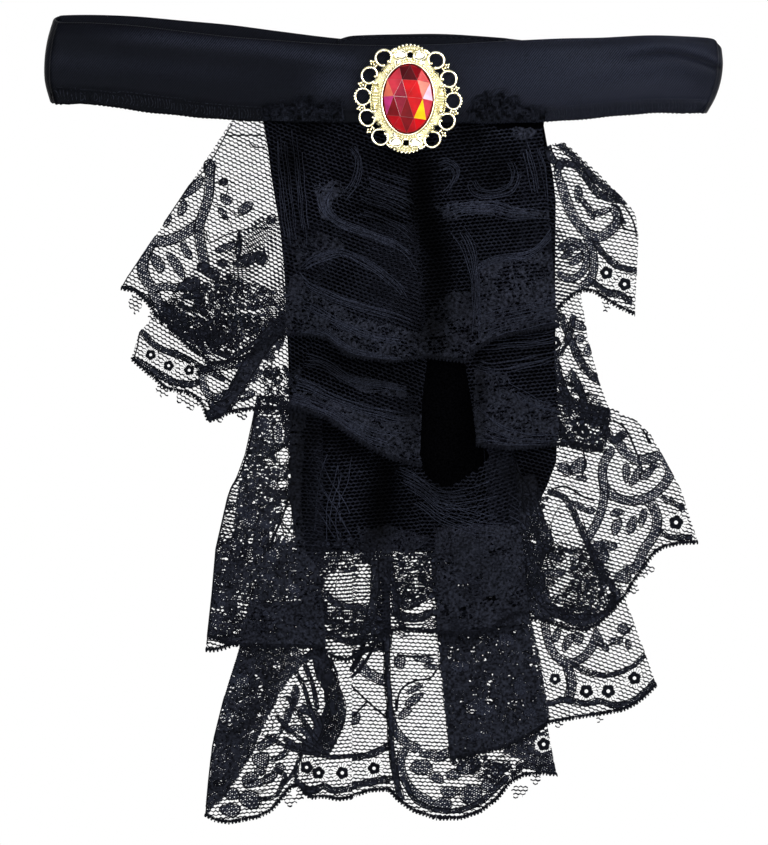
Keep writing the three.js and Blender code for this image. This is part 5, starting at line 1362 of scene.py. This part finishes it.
def thread(pile, pts, r, sides=5):
    """A closed thread of radius r (metres) along points (n, 3)."""
    pts = np.asarray(pts, float)
    d = np.gradient(pts, axis=0)
    d /= np.maximum(np.linalg.norm(d, axis=1), 1e-12)[:, None]
    up = np.where(np.abs(d[:, 2:3]) > 0.9, [[1.0, 0, 0]], [[0, 0, 1.0]])
    a = np.cross(d, up)
    a /= np.maximum(np.linalg.norm(a, axis=1), 1e-12)[:, None]
    c = np.cross(a, d)
    ang = np.linspace(0, 2 * np.pi, sides, endpoint=False)
    r = np.broadcast_to(np.asarray(r, float), (len(pts),))
    ring = pts[:, None] + r[:, None, None] * (np.cos(ang)[None, :, None] * a[:, None] + np.sin(ang)[None, :, None] * c[:, None])
    n = len(pts)
    idx = np.arange(n * sides).reshape(n, sides)
    nxt = np.roll(idx, -1, axis=1)
    quads = np.stack([idx[:-1], idx[1:], nxt[1:], nxt[:-1]], -1).reshape(-1, 4)
    caps = [[idx[0, 0], idx[0, k], idx[0, k + 1]] for k in range(1, sides - 1)] + [[idx[-1, 0], idx[-1, k + 1], idx[-1, k]] for k in range(1, sides - 1)]
    pile.add(ring.reshape(-1, 3), tris=caps, quads=quads)


# stitches: the hem's seam and the overlocked edge, and the dashes on the overlap behind
def band_top(x, y):
    """Top of the band's front at squares x, y, in metres."""
    sel = (band_at > 9) & (band_at < 31)
    P = band_P[sel]
    i = np.argmin(np.abs(P[:, 20, 0] - to_x(x)))
    j = np.argmin(np.abs(P[i, :, 1] - to_y(y)))
    return P[i, j] + band_n[sel][i, j] * 0.0006 * np.sign(band_n[sel][i, j, 2])


stitch = Pile()
for x in np.arange(52, 706, 4.4):
    if 345 < x < 470:
        continue
    y = float(np.interp(x, *zip(*SEAM)))
    a, c = band_top(x, y), band_top(x + 2.6, y + 0.25)
    mid = (a + c) / 2 + [0, 0, 0.0001]
    thread(stitch, bend([a, mid, c], 3), 0.00013, 4)
for x in np.arange(56, 700, 2.9):
    if 345 < x < 470:
        continue
    y = float(np.interp(x, *zip(*SEAM))) + 3
    low = y + 8.5 + rng.normal() * 0.5
    lean = rng.normal() * 0.6
    pts = [band_top(x + lean * 0.2, y), band_top(x + lean * 0.5 + 0.9, (y + low) / 2), band_top(x + lean, low)]
    thread(stitch, bend(np.array(pts) + [0, 0, 0.00006], 3), 0.00015, 4)
for x in np.arange(343, 505, 6.2):
    if 0 <= x:
        y = float(np.interp(x, (340, 400, 445, 500), (39.3, 37.3, 37.0, 40.3)))
        thread(stitch, [(float(to_x(x)), float(to_y(y)), 0.00405), (float(to_x(x + 1.8)), float(to_y(y)), 0.00412), (float(to_x(x + 3.6)), float(to_y(y + .1)), 0.00405)], 0.00013, 4)
seam_m, b = material("seam_thread", (0.006, 0.007, 0.011), rough=0.6, spec=0.05)
add_noise(seam_m, b, 900, (0.002, 0.0025, 0.004), (0.013, 0.015, 0.023), bump=0.4)
stitch_o = stitch.make("band_stitches", seam_m, smooth=True)

# ------------------------------------------------------------------ gathered header of the top tier
frill_m, b = material("frill_thread", (0.003, 0.0034, 0.005), rough=0.8, spec=0.02)
add_noise(frill_m, b, 620, (0.0003, 0.0004, 0.0006), (0.0100, 0.0115, 0.0175), bump=0.8)


def frill(name, node, x0, x1, top_line, low, seed):
    g = np.random.default_rng(seed)
    net = Pile()
    z0 = 13.05
    k = np.arange(x0, x1 + 0.01, 0.8)
    phase = np.cumsum(0.8 * 2 * math.pi / (11 + 5 * np.sin(k / 9.1) + 2 * np.sin(k / 3.7)))
    top = np.interp(k, *zip(*top_line)) + 2.9 * np.sin(phase / 2 + 1) + 1.3 * np.sin(k / 2.3) - 1

    def at(v):
        x = k + 2.6 * v * np.sin(phase)
        y = mix(low, top, v)
        z = z0 + 0.35 + v * (1.7 * (0.5 - 0.5 * np.cos(phase)) + 0.25 * np.sin(k / 1.7)) + 0.15 * np.sin(k * 1.1)
        return np.stack([to_x(x), to_y(y), z * MM], 1)

    rows = [at(v) for v in np.linspace(0, 1, 15)]
    w = 0.00042
    for a, c in zip(rows[:-1], rows[1:]):                              # close rows of net, each a slanted ribbon
        up = (c - a) * 0.62
        n = len(a)
        wob = g.normal(0, 0.00009, (n, 3))
        idx = np.arange(2 * n).reshape(2, n)
        quads = np.stack([idx[0, :-1], idx[0, 1:], idx[1, 1:], idx[1, :-1]], -1)
        keep = g.random(n - 1) > 0.10
        net.add(np.concatenate([a + wob, a + up + wob]), quads=quads[keep])
    for i in range(1, len(k), 2):                                     # gathers
        col = np.array([r[i] for r in rows])[::2] + g.normal(0, 0.00012, (8, 3))
        if g.random() < 0.8:
            thread(net, bend(col, 2), 0.00022 if g.random() < 0.4 else 0.00014, 4)
    for layer in range(3):                                            # the curled raw edge
        f = np.arange(0, len(k) - 1, 0.5)
        x, y = np.interp(f, np.arange(len(k)), rows[-1][:, 0]), np.interp(f, np.arange(len(k)), rows[-1][:, 1])
        z = np.interp(f, np.arange(len(k)), rows[-1][:, 2])
        a = f * (0.62 + 0.13 * layer) + 2 * np.sin(f / 11 + layer * 2)
        r = (1.0 + 0.8 * np.sin(f / 9 + layer * 1.7)) * 2.3 * SQ
        pts = np.stack([x + r * np.sin(a), y + r * np.cos(a) + (layer - 0.6) * 1.2 * SQ, z + 0.00025 * np.sin(a * 1.3 + layer)], 1)
        thread(net, pts, 0.00013 + 0.00004 * (layer == 0), 4)
    for _ in range(9):                                                # bigger curls of the raw edge
        f = x0 + 6 + (x1 - x0 - 12) * g.random()
        y = float(np.interp(f, *zip(*top_line))) + 3 + 7 * g.random()
        a = np.linspace(0, (1.2 + g.random()) * 2 * math.pi, 22) * (1 if g.random() < 0.5 else -1) + 6 * g.random()
        r = np.linspace(1.2, 3.4 + 1.5 * g.random(), 22)
        pts = np.stack([to_x(f + r * np.cos(a)), to_y(y + 0.8 * r * np.sin(a)), np.full(22, 0.0147) + 0.0002 * np.sin(a)], 1)
        thread(net, pts, 0.00024, 5)
    print(name, net.triangles())
    o = net.make(name, frill_m)
    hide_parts(node)
    return o


frill_left = frill("frill_left", "header_frill_left", 262, 345, [(262, 114), (272, 110), (290, 107), (306, 104), (320, 108), (332, 106), (345, 108)], 121.5, 3)
frill_right = frill("frill_right", "header_frill_right", 467, 546, [(467, 112), (476, 103), (486, 98), (497, 97), (508, 103), (520, 107), (532, 110), (546, 117)], 122, 5)

# ------------------------------------------------------------------ brooch
BX, BY, BZ, TILT = float(to_x(408)), float(to_y(100)), 0.0133, math.radians(-2.7)


def to_brooch(p):
    """Millimetres from the brooch's middle to the row frame."""
    p = np.asarray(p, float)
    c, n = math.cos(TILT), math.sin(TILT)
    return np.stack([BX + (p[..., 0] * c - p[..., 1] * n) * MM, BY + (p[..., 0] * n + p[..., 1] * c) * MM, BZ + p[..., 2] * MM], -1)


LOOPS = [(33.5, 17.4), (61.3, 16.5), (89.8, 16.5), (117.5, 16.4), (146.4, 17.2)]
loops = [(side * r * math.sin(math.radians(a)), r * math.cos(math.radians(a))) for side in (1, -1) for a, r in LOOPS]


def plate_reach(a):
    """Outer edge of the plate at angle a from +X."""
    c, n = np.cos(a), np.sin(a)
    r = 1 / np.sqrt((c / 13.7) ** 2 + (n / 15.2) ** 2)
    r = r + 0.25 * np.sin(a * 36)
    for side in (1, -1):                                               # lobes at the top and the bottom
        oy, rx, ry = side * 14.2, 7.2, 5.3
        A = (c / rx) ** 2 + (n / ry) ** 2
        B = -2 * n * oy / ry ** 2
        C = (oy / ry) ** 2 - 1
        disc = B * B - 4 * A * C
        far = np.where(disc > 0, (-B + np.sqrt(np.maximum(disc, 0))) / (2 * A), 0)
        r = np.maximum(r, np.where(n * side > 0, far, 0))
    for x, y in loops:                                                 # cut back at each loop's opening
        along = x * c + y * n
        off = np.abs(x * n - y * c)
        hit = (off < 2.45) & (along > 0)
        r = np.where(hit, np.minimum(r, along - np.sqrt(np.maximum(2.45 ** 2 - off ** 2, 0))), r)
    return r


NA, NR = 480, 30
ang = np.linspace(0, 2 * np.pi, NA, endpoint=False)
inner = 1 / np.sqrt((np.cos(ang) / 9.25) ** 2 + (np.sin(ang) / 12.75) ** 2)
outer_r = plate_reach(ang)
ff = np.linspace(0, 1, NR)
rr = inner[:, None] + (outer_r - inner)[:, None] * ff[None, :]
px, py = rr * np.cos(ang)[:, None], rr * np.sin(ang)[:, None]
# snap the two round holes
for side in (1, -1):
    hx, hy, hr = 0.0, side * 16.0, 1.12
    d = np.hypot(px - hx, py - hy)
    near = (d > 1e-6) & (np.abs(d - hr) < 0.24)
    px = np.where(near, hx + (px - hx) * hr / np.maximum(d, 1e-9), px)
    py = np.where(near, hy + (py - hy) * hr / np.maximum(d, 1e-9), py)
ell = np.hypot(px / 9.0, py / 12.5)
away = outer_r[:, None] - rr
pz = 1.0 + 0.3 * soft(away / 0.7) + 0 * px
smooth_zone = np.zeros((NA, NR))
pz += 1.1 * bell(ell - 1.06, 0.035)                                     # bezel
ribs = soft((np.abs(px) - 10.6) / 0.4) * soft((13.6 - np.abs(px)) / 0.5) * soft((4.6 - np.abs(py)) / 0.4)
pz += ribs * (0.55 * np.cos(py * 2 * math.pi / 1.02) + 0.3)
smooth_zone = np.maximum(smooth_zone, ribs * soft(0.9 + 1.6 * np.cos(py * 2 * math.pi / 1.02)))
for side in (1, -1):                                                   # hollow petals beside the lobes' holes
    for lx in (-3.4, 3.4):
        q = ((px - lx) * 0.9 + (py - side * 15.9) * 0.35 * np.sign(lx) * side, (py - side * 15.9) * 1.0 - (px - lx) * 0.25 * np.sign(lx) * side)
        d = np.hypot(q[0] / 2.3, q[1] / 1.75)
        pz += 0.75 * bell(d - 1.0, 0.22) + 0.25 * soft((1 - d) / 0.4)
        smooth_zone = np.maximum(smooth_zone, soft((1.25 - d) / 0.15))
    d = np.hypot(px, py - side * 16.0)
    pz += 0.6 * bell(d - 1.55, 0.28)
    smooth_zone = np.maximum(smooth_zone, bell(d - 1.5, 0.35))
smooth_zone = np.maximum(smooth_zone, bell(ell - 1.055, 0.03))
smooth_zone = np.maximum(smooth_zone, 0.8 * bell(away - 0.15, 0.25))
for x, y in loops:                                                     # smooth lozenges behind the loops
    a = math.atan2(y, x)
    for turn_ in (-0.235, 0.235):
        b_ = a + turn_
        cx_, cy_ = 12.4 * math.cos(b_), 14.0 * math.sin(b_)
        pz += 0.6 * bell(np.hypot(px - cx_, py - cy_), 0.85)
        smooth_zone = np.maximum(smooth_zone, soft((1.15 - np.hypot(px - cx_, py - cy_)) / 0.3))
in_hole = np.zeros((NA, NR), bool)
for side in (1, -1):
    in_hole |= np.hypot(px, py - side * 16.0) < 1.10
gold = Pile()
top = to_brooch(np.stack([px, py, pz], -1))
bottom = to_brooch(np.stack([px, py, np.full_like(px, 0.15)], -1))
idx = np.arange(NA * NR).reshape(NA, NR)
ia, ib = idx, np.roll(idx, -1, axis=0)
cell_hole = in_hole | np.roll(in_hole, -1, axis=0)
cell_hole = cell_hole[:, :-1] | cell_hole[:, 1:]
q = np.stack([ia[:, :-1], ia[:, 1:], ib[:, 1:], ib[:, :-1]], -1)
up_q = q[~cell_hole]
low_q = up_q[:, ::-1] + NA * NR
edges = {}
for face in up_q:
    for k in range(4):
        a_, b_ = int(face[k]), int(face[(k + 1) % 4])
        if (b_, a_) in edges:
            del edges[(b_, a_)]
        else:
            edges[(a_, b_)] = 1
side_q = np.array([(b_, a_, a_ + NA * NR, b_ + NA * NR) for a_, b_ in edges])
plate = Pile()
plate.add(np.concatenate([top.reshape(-1, 3), bottom.reshape(-1, 3)]), quads=np.concatenate([up_q, low_q, side_q]))
# 1 on the smooth raised parts, 0 on the ground between beads, which the plate material paints darker as shade of the
# hollows and makes rougher
plate_polish_and_shade = np.concatenate([smooth_zone.ravel(), np.zeros(NA * NR)])


def ico():
    f = (1 + 5 ** 0.5) / 2
    v = np.array([(-1, f, 0), (1, f, 0), (-1, -f, 0), (1, -f, 0), (0, -1, f), (0, 1, f), (0, -1, -f), (0, 1, -f), (f, 0, -1), (f, 0, 1), (-f, 0, -1), (-f, 0, 1)], float)
    t = [(0, 11, 5), (0, 5, 1), (0, 1, 7), (0, 7, 10), (0, 10, 11), (1, 5, 9), (5, 11, 4), (11, 10, 2), (10, 7, 6), (7, 1, 8),
         (3, 9, 4), (3, 4, 2), (3, 2, 6), (3, 6, 8), (3, 8, 9), (4, 9, 5), (2, 4, 11), (6, 2, 10), (8, 6, 7), (9, 8, 1)]
    v = v / np.linalg.norm(v[0])
    v, out, seen = list(map(tuple, v)), [], {}

    def half_way(a, b):
        key = (min(a, b), max(a, b))
        if key not in seen:
            m_ = (np.array(v[a]) + np.array(v[b])) / 2
            v.append(tuple(m_ / np.linalg.norm(m_)))
            seen[key] = len(v) - 1
        return seen[key]

    for a, b_, c in t:
        x, y, z = half_way(a, b_), half_way(b_, c), half_way(c, a)
        out += [(a, x, z), (b_, y, x), (c, z, y), (x, y, z)]
    return np.array(v), np.array(out)


ICO_V, ICO_T = ico()


def bead(x, y, z, r, flat=1.0):
    gold.add(to_brooch(np.array([x, y, z]) + ICO_V * r * [1, 1, flat]), tris=ICO_T)


def wire(points, r, sides=9):
    thread(gold, to_brooch(np.asarray(points, float)), r * MM, sides)


for side_i, (lx, ly) in enumerate(loops):
    a0 = math.atan2(ly, lx)
    middle = abs(ly) < 1
    t_ = np.linspace(-1, 1, 42)
    sweep = a0 + t_ * math.radians(152)
    rad = 2.85 - 0.12 * np.cos(2 * (sweep - a0))
    line = np.stack([lx + rad * np.cos(sweep), ly + rad * np.sin(sweep), 1.55 + 0.25 * np.cos(t_ * 1.4)], -1)
    wire(line, 0.50 if not middle else 0.42)
    for tip in (line[0], line[-1]):                                    # the wire's curled ends
        bead(tip[0], tip[1], 1.7, 0.56)
    back = np.array([lx, ly]) / math.hypot(lx, ly)
    cross = np.array([-back[1], back[0]])
    knob = np.array([lx, ly]) - back * 1.95 + cross * (0.75 if ly > 0 else -0.75) * (1 if lx > 0 else -1)
    if not middle:
        bead(knob[0], knob[1], 1.75, 0.52)
    else:
        for t2 in np.linspace(-1, 1, 11):
            b_ = a0 + t2 * math.radians(100)
            bead(lx + 3.15 * math.cos(b_), ly + 3.15 * math.sin(b_), 1.7, 0.42)
for sx in (1, -1):                                                     # clusters of three beads between the loops
    for (a1, r1), (a2, r2) in zip(LOOPS[:-1], LOOPS[1:]):
        a_, r_ = math.radians((a1 + a2) / 2), (r1 + r2) / 2 + 1.55
        cx_, cy_ = sx * r_ * math.sin(a_), r_ * math.cos(a_)
        out_d = np.array([cx_, cy_]) / r_
        cr_d = np.array([-out_d[1], out_d[0]])
        for o_, c_, rad in ((0.75, 0, 0.55), (0, 0.55, 0.5), (0, -0.55, 0.5), (-0.9, 0, 0.5), (-1.8, 0.3, 0.42), (-1.8, -0.3, 0.42)):
            q_ = np.array([cx_, cy_]) + out_d * o_ + cr_d * c_
            bead(q_[0], q_[1], 1.65, rad)
for sy in (1, -1):                                                     # beaded edge of the lobes
    for t2 in np.linspace(-1, 1, 11):
        a_ = t2 * math.radians(58)
        x_, y_ = 7.35 * math.sin(a_) * 0.98, sy * (14.1 + 5.5 * math.cos(a_))
        bead(x_, y_, 1.5, 0.52)
    for t2 in np.linspace(-1, 1, 14):
        a_ = t2 * math.radians(56)
        bead(6.4 * math.sin(a_), sy * (14.0 + 4.45 * math.cos(a_)), 1.95, 0.34)
    for sx in (1, -1):
        for dx, dy, rad in ((6.55, 17.1, .62), (7.25, 16.35, .55), (5.9, 17.7, .5), (6.6, 15.6, .45), (6.9, 14.8, .4), (7.1, 14.0, .4), (7.6, 13.3, .4)):
            bead(sx * dx, sy * dy, 1.7, rad)
for rx, ry, count, rad, z_ in ((10.45, 13.85, 66, 0.42, 1.6), (11.6, 14.8, 72, 0.36, 1.5)):       # double beaded rows round the bezel
    for k in range(count):
        a_ = 2 * math.pi * k / count
        x_, y_ = rx * math.cos(a_), ry * math.sin(a_)
        if rx > 11 and (abs(y_) < 4.9 or (abs(x_) < 5.4)):
            continue
        bead(x_, y_, z_, rad)
for sx in (1, -1):                                                     # frames of the ribbed panels
    wire([(sx * 10.9, 4.9, 1.8), (sx * 12.2, 5.2, 1.9), (sx * 13.4, 4.6, 1.8)], 0.32)
    wire([(sx * 10.9, -4.9, 1.8), (sx * 12.2, -5.2, 1.9), (sx * 13.4, -4.6, 1.8)], 0.32)
    for y_ in np.arange(-4.9, 5.0, 0.62):
        bead(sx * (13.75 - 0.03 * y_ * y_), y_, 1.6, 0.30)
a_ = np.linspace(0, 2 * np.pi, 121)
wire(np.stack([9.55 * np.cos(a_), 13.05 * np.sin(a_), 3.0 + 0 * a_], -1), 0.34, 8)     # rim that holds the stone
print("gold", gold.triangles())
gold_m, b = material("pale_gold", (0.93, 0.88, 0.60), rough=0.10, metal=1.0, spec=0.5)
t = gold_m.node_tree
co = t.nodes.new("ShaderNodeTexCoord")
ns = t.nodes.new("ShaderNodeTexNoise")
ns.inputs["Scale"].default_value = 1400
ns.inputs["Detail"].default_value = 2
t.links.new(co.outputs["Object"], ns.inputs["Vector"])
rp = t.nodes.new("ShaderNodeValToRGB")
rp.color_ramp.elements[0].position = 0.35
rp.color_ramp.elements[0].color = (0.82, 0.74, 0.40, 1)
rp.color_ramp.elements[1].position = 0.58
rp.color_ramp.elements[1].color = (0.98, 0.96, 0.82, 1)
t.links.new(ns.outputs["Fac"], rp.inputs["Fac"])
t.links.new(rp.outputs["Color"], b.inputs["Base Color"])
bp = t.nodes.new("ShaderNodeBump")
bp.inputs["Strength"].default_value = 0.5
bp.inputs["Distance"].default_value = 0.00012
t.links.new(ns.outputs["Fac"], bp.inputs["Height"])
t.links.new(bp.outputs["Normal"], b.inputs["Normal"])
gold_o = gold.make("brooch_gold", gold_m, smooth=True)
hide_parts("brooch_frame")
# a copy of the gold whose colour is darkened away from the smooth raised parts: painted shade of the hollows between
# beads, with a rougher finish there
plate_m = gold_m.copy()
plate_m.name = "pale_gold_plate"
t = plate_m.node_tree
b = t.nodes["Principled BSDF"]
ramp_out = b.inputs["Base Color"].links[0].from_socket
tone = t.nodes.new("ShaderNodeAttribute")
tone.attribute_name = "tone"
mxc = t.nodes.new("ShaderNodeMix")
mxc.data_type = "RGBA"
mxc.inputs["A"].default_value = (0.52, 0.48, 0.28, 1)
t.links.new(tone.outputs["Fac"], mxc.inputs["Factor"])
t.links.new(ramp_out, mxc.inputs["B"])
t.links.new(mxc.outputs["Result"], b.inputs["Base Color"])
rr_ = t.nodes.new("ShaderNodeMapRange")
rr_.inputs["To Min"].default_value = 0.38
rr_.inputs["To Max"].default_value = 0.14
t.links.new(tone.outputs["Fac"], rr_.inputs["Value"])
t.links.new(rr_.outputs["Result"], b.inputs["Roughness"])
plate_verts = np.concatenate(plate.v)
plate_used = np.unique(np.concatenate([f.ravel() for f in plate.q]))
plate_o = plate.make("brooch_plate", plate_m, smooth=True)
attr = plate_o.data.attributes.new("tone", "FLOAT", "POINT")
attr.data.foreach_set("value", plate_polish_and_shade[plate_used].astype(np.float32))

# the stone: facets one by one, in tenths of a millimetre from its middle
ST = {"T": (2, 122), "T1": (-37, 114), "T2": (44, 111), "A0": (-78, 66), "A1": (-25, 68), "A2": (30, 68), "A3": (77, 61),
      "B0": (-90, 3), "B1": (-53, 7), "B2": (-4, 5), "B3": (53, 2), "B4": (90, -4), "C0": (-75, -64), "C1": (-26, -66), "C2": (24, -70), "C3": (69, -74),
      "D0": (-49, -104), "D": (0, -125), "D1": (35, -114)}
# the facets' colours are painted light on the red stone: the white, pink, salmon, yellow and magenta facets are painted
# reflections, the dark ones painted shade
BRIGHT, RED, DARK, DEEP_R, PINK, SALMON, ROSE, WHITE, YELLOW, MAGENTA = (
    (0.44, 0.003, 0.006), (0.33, 0.002, 0.006), (0.15, 0.001, 0.004), (0.055, 0.001, 0.003), (0.42, 0.028, 0.045), (0.55, 0.12, 0.075),
    (0.22, 0.008, 0.024), (0.80, 0.46, 0.58), (0.80, 0.44, 0.005), (0.42, 0.03, 0.15))
FACETS = [("T", "T1", "A1", DEEP_R), ("T", "A1", "A2", DEEP_R), ("T", "A2", "T2", DARK), ("T1", "A0", "A1", PINK), ("T2", "A2", "A3", BRIGHT),
          ("A0", "B0", "B1", SALMON), ("A0", "B1", "A1", PINK), ("A1", "B1", "B2", ROSE), ("A1", "B2", "A2", BRIGHT), ("A2", "B2", "B3", BRIGHT),
          ("A2", "B3", "A3", SALMON), ("A3", "B3", "B4", WHITE), ("B0", "C0", "B1", MAGENTA), ("B1", "C0", "C1", DARK), ("B1", "C1", "B2", ROSE),
          ("B2", "C1", "C2", DARK), ("B2", "C2", "B3", BRIGHT), ("B3", "C2", "C3", YELLOW), ("B3", "C3", "B4", PINK), ("C0", "D0", "C1", RED),
          ("C1", "D0", "D", RED), ("C1", "D", "C2", DARK), ("C2", "D", "D1", RED), ("C2", "D1", "C3", BRIGHT)]
rim_pts = []
for a_ in np.linspace(0, 2 * np.pi, 64, endpoint=False):
    rim_pts.append((8.95 * math.cos(a_), 12.45 * math.sin(a_)))
names = list(ST)
crown = np.array([(ST[k][0] / 10, ST[k][1] / 10) for k in names])
ring_r = np.hypot(crown[:, 0] / 9, crown[:, 1] / 12.5)
crown_z = 2.6 + 3.2 * np.sqrt(np.clip(1 - 0.92 * ring_r ** 2, 0, 1)) - 0.35
stone_v, stone_f, stone_c = [], [], []
for a_, b_, c_, col in FACETS:
    tri = np.array([(*crown[names.index(k)], crown_z[names.index(k)]) for k in (a_, b_, c_)])
    mid = tri.mean(0)
    cut = mid + (tri - mid) * 0.955                                      # a narrow polished edge round each facet
    n0 = len(stone_v)
    stone_v += [tuple(v) for v in tri] + [tuple(v + [0, 0, 0.05]) for v in cut]
    flip = np.cross(tri[1] - tri[0], tri[2] - tri[0])[2] < 0
    faces = [(3, 4, 5)] + [(k, (k + 1) % 3, 3 + (k + 1) % 3, 3 + k) for k in range(3)]
    for k, face in enumerate(faces):
        face = tuple(n0 + i for i in face)
        stone_f.append(face[::-1] if flip else face)
        # facet rims take a tone near their facet's; two sides of each rose facet are much lighter, painted highlight
        # lines
        stone_c.append(col if k == 0 else tuple(min(1, 0.8 * x_ + (0.42 if col in (ROSE,) and k in (1, 3) else 0.035)) for x_ in col))
# girdle and back
outline = ["T", "T1", "A0", "B0", "C0", "D0", "D", "D1", "C3", "B4", "A3", "T2"]
for k, name in enumerate(outline):
    nxt = outline[(k + 1) % len(outline)]
    p0, p1 = crown[names.index(name)], crown[names.index(nxt)]
    z0_, z1_ = crown_z[names.index(name)], crown_z[names.index(nxt)]
    a0_, a1_ = math.atan2(p0[1] / 12.5, p0[0] / 9), math.atan2(p1[1] / 12.5, p1[0] / 9)
    if a1_ < a0_:
        a1_ += 2 * math.pi
    steps = 6
    for j in range(steps):
        f0, f1 = j / steps, (j + 1) / steps
        r0_, r1_ = mix(p0, p1, f0), mix(p0, p1, f1)
        g0, g1 = mix(a0_, a1_, f0), mix(a0_, a1_, f1)
        n0 = len(stone_v)
        stone_v += [(*r0_, mix(z0_, z1_, f0)), (*r1_, mix(z0_, z1_, f1)), (8.98 * math.cos(g1), 12.48 * math.sin(g1), 2.3),
                    (8.98 * math.cos(g0), 12.48 * math.sin(g0), 2.3), (8.5 * math.cos(g0), 12.0 * math.sin(g0), 1.25),
                    (8.5 * math.cos(g1), 12.0 * math.sin(g1), 1.25), (0, 0, 1.25)]
        stone_f += [(n0 + 3, n0 + 2, n0 + 1, n0), (n0 + 4, n0 + 5, n0 + 2, n0 + 3), (n0 + 6, n0 + 5, n0 + 4)]
        stone_c += [RED, DARK, DARK]
mesh = bpy.data.meshes.new("gem")
mesh.from_pydata([tuple(v) for v in to_brooch(np.array(stone_v))], [], stone_f)
mesh.update()
col = mesh.color_attributes.new("facet", "FLOAT_COLOR", "CORNER")
k = 0
for poly, c_ in zip(mesh.polygons, stone_c):
    for li in poly.loop_indices:
        col.data[li].color = (*c_, 1)
import bmesh
bm = bmesh.new()
bm.from_mesh(mesh)
bmesh.ops.remove_doubles(bm, verts=bm.verts, dist=1e-6)
bmesh.ops.recalc_face_normals(bm, faces=bm.faces)
bm.to_mesh(mesh)
bm.free()
gem_m, b = material("gem_red", (0.45, 0.01, 0.02), rough=0.08, spec=0.12)
t = gem_m.node_tree
at_ = t.nodes.new("ShaderNodeAttribute")
at_.attribute_name = "facet"
co = t.nodes.new("ShaderNodeTexCoord")
ns = t.nodes.new("ShaderNodeTexNoise")
ns.inputs["Scale"].default_value = 260
ns.inputs["Detail"].default_value = 2
t.links.new(co.outputs["Object"], ns.inputs["Vector"])
rp = t.nodes.new("ShaderNodeValToRGB")
rp.color_ramp.elements[0].position = 0.3
rp.color_ramp.elements[0].color = (0.62, 0.62, 0.62, 1)
rp.color_ramp.elements[1].position = 0.7
rp.color_ramp.elements[1].color = (1, 1, 1, 1)
t.links.new(ns.outputs["Fac"], rp.inputs["Fac"])
mxc = t.nodes.new("ShaderNodeMix")
mxc.data_type = "RGBA"
mxc.blend_type = "MULTIPLY"
mxc.inputs["Factor"].default_value = 1.0
t.links.new(at_.outputs["Color"], mxc.inputs["A"])
t.links.new(rp.outputs["Color"], mxc.inputs["B"])
t.links.new(mxc.outputs["Result"], b.inputs["Base Color"])
mesh.materials.append(gem_m)
gem = bpy.data.objects.new("brooch_gem", mesh)
bpy.context.scene.collection.objects.link(gem)
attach(gem, "root")
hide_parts("brooch_stone")

# ------------------------------------------------------------------ stage, light and camera
floor_mesh = bpy.data.meshes.new("floor")
R = 3.0
floor_mesh.from_pydata([(-R, -R, -0.0008), (R, -R, -0.0008), (R, R, -0.0008), (-R, R, -0.0008)], [], [(0, 1, 2, 3)])
floor = bpy.data.objects.new("floor", floor_mesh)
bpy.context.scene.collection.objects.link(floor)
floor_m = bpy.data.materials.new("floor_white")
floor_m.use_nodes = True
t = floor_m.node_tree
t.nodes.clear()
em = t.nodes.new("ShaderNodeEmission")
em.inputs["Color"].default_value = (1, 1, 1, 1)
em.inputs["Strength"].default_value = 1.0
outn = t.nodes.new("ShaderNodeOutputMaterial")
t.links.new(em.outputs[0], outn.inputs["Surface"])
floor_mesh.materials.append(floor_m)

world = bpy.data.worlds.new("world")
bpy.context.scene.world = world
world.use_nodes = True
bg = world.node_tree.nodes["Background"]
w = world.node_tree
wc = w.nodes.new("ShaderNodeTexCoord")
ws = w.nodes.new("ShaderNodeSeparateXYZ")
wr = w.nodes.new("ShaderNodeValToRGB")
w.links.new(wc.outputs["Generated"], ws.inputs[0])
w.links.new(ws.outputs["Z"], wr.inputs["Fac"])
wr.color_ramp.elements[0].position = 0.0
wr.color_ramp.elements[0].color = (0.10, 0.10, 0.10, 1)
wr.color_ramp.elements[1].position = 1.0
wr.color_ramp.elements[1].color = (1, 1, 1, 1)
for at, level in ((0.45, 0.09), (0.62, 0.16), (0.80, 0.42), (0.93, 0.95)):
    wr.color_ramp.elements.new(at).color = (level, level, level, 1)
w.links.new(wr.outputs["Color"], bg.inputs["Color"])
bg.inputs["Strength"].default_value = 2.2


def area(name, at, look_at, size, power, color=(1, 1, 1)):
    d = bpy.data.lights.new(name, "AREA")
    d.shape = "RECTANGLE"
    d.size, d.size_y = size
    d.energy = power
    d.color = color
    o = bpy.data.objects.new(name, d)
    bpy.context.scene.collection.objects.link(o)
    o.location = at
    o.rotation_euler = (Vector(look_at) - Vector(at)).to_track_quat("-Z", "Y").to_euler()
    return o


area("key", (0.42, 0.34, 0.55), (0.05, 0.08, 0), (0.4, 0.3), 5.5)
area("fill_light", (-0.6, 0.2, 1.0), (0, 0, 0), (0.5, 0.5), 4)
area("low_light", (0.1, -0.7, 0.8), (0, 0, 0), (0.5, 0.3), 3)

cam_d = bpy.data.cameras.new("camera")
cam_d.lens = 300
cam_d.sensor_width = 36
cam_d.sensor_fit = "AUTO"
cam = bpy.data.objects.new("camera", cam_d)
bpy.context.scene.collection.objects.link(cam)
cx = float(to_x(384))
cy = float(to_y(422.5))
cam.location = (cx, cy, 0.845 * 0.365 * 300 / 36 + 0.006)
cam.rotation_euler = (0, 0, 0)
cam_d.clip_start = 0.05
cam_d.clip_end = 20
cam_d.dof.use_dof = False
bpy.context.scene.camera = cam
bpy.context.scene.view_settings.view_transform = "Standard"
bpy.context.scene.view_settings.look = "None"
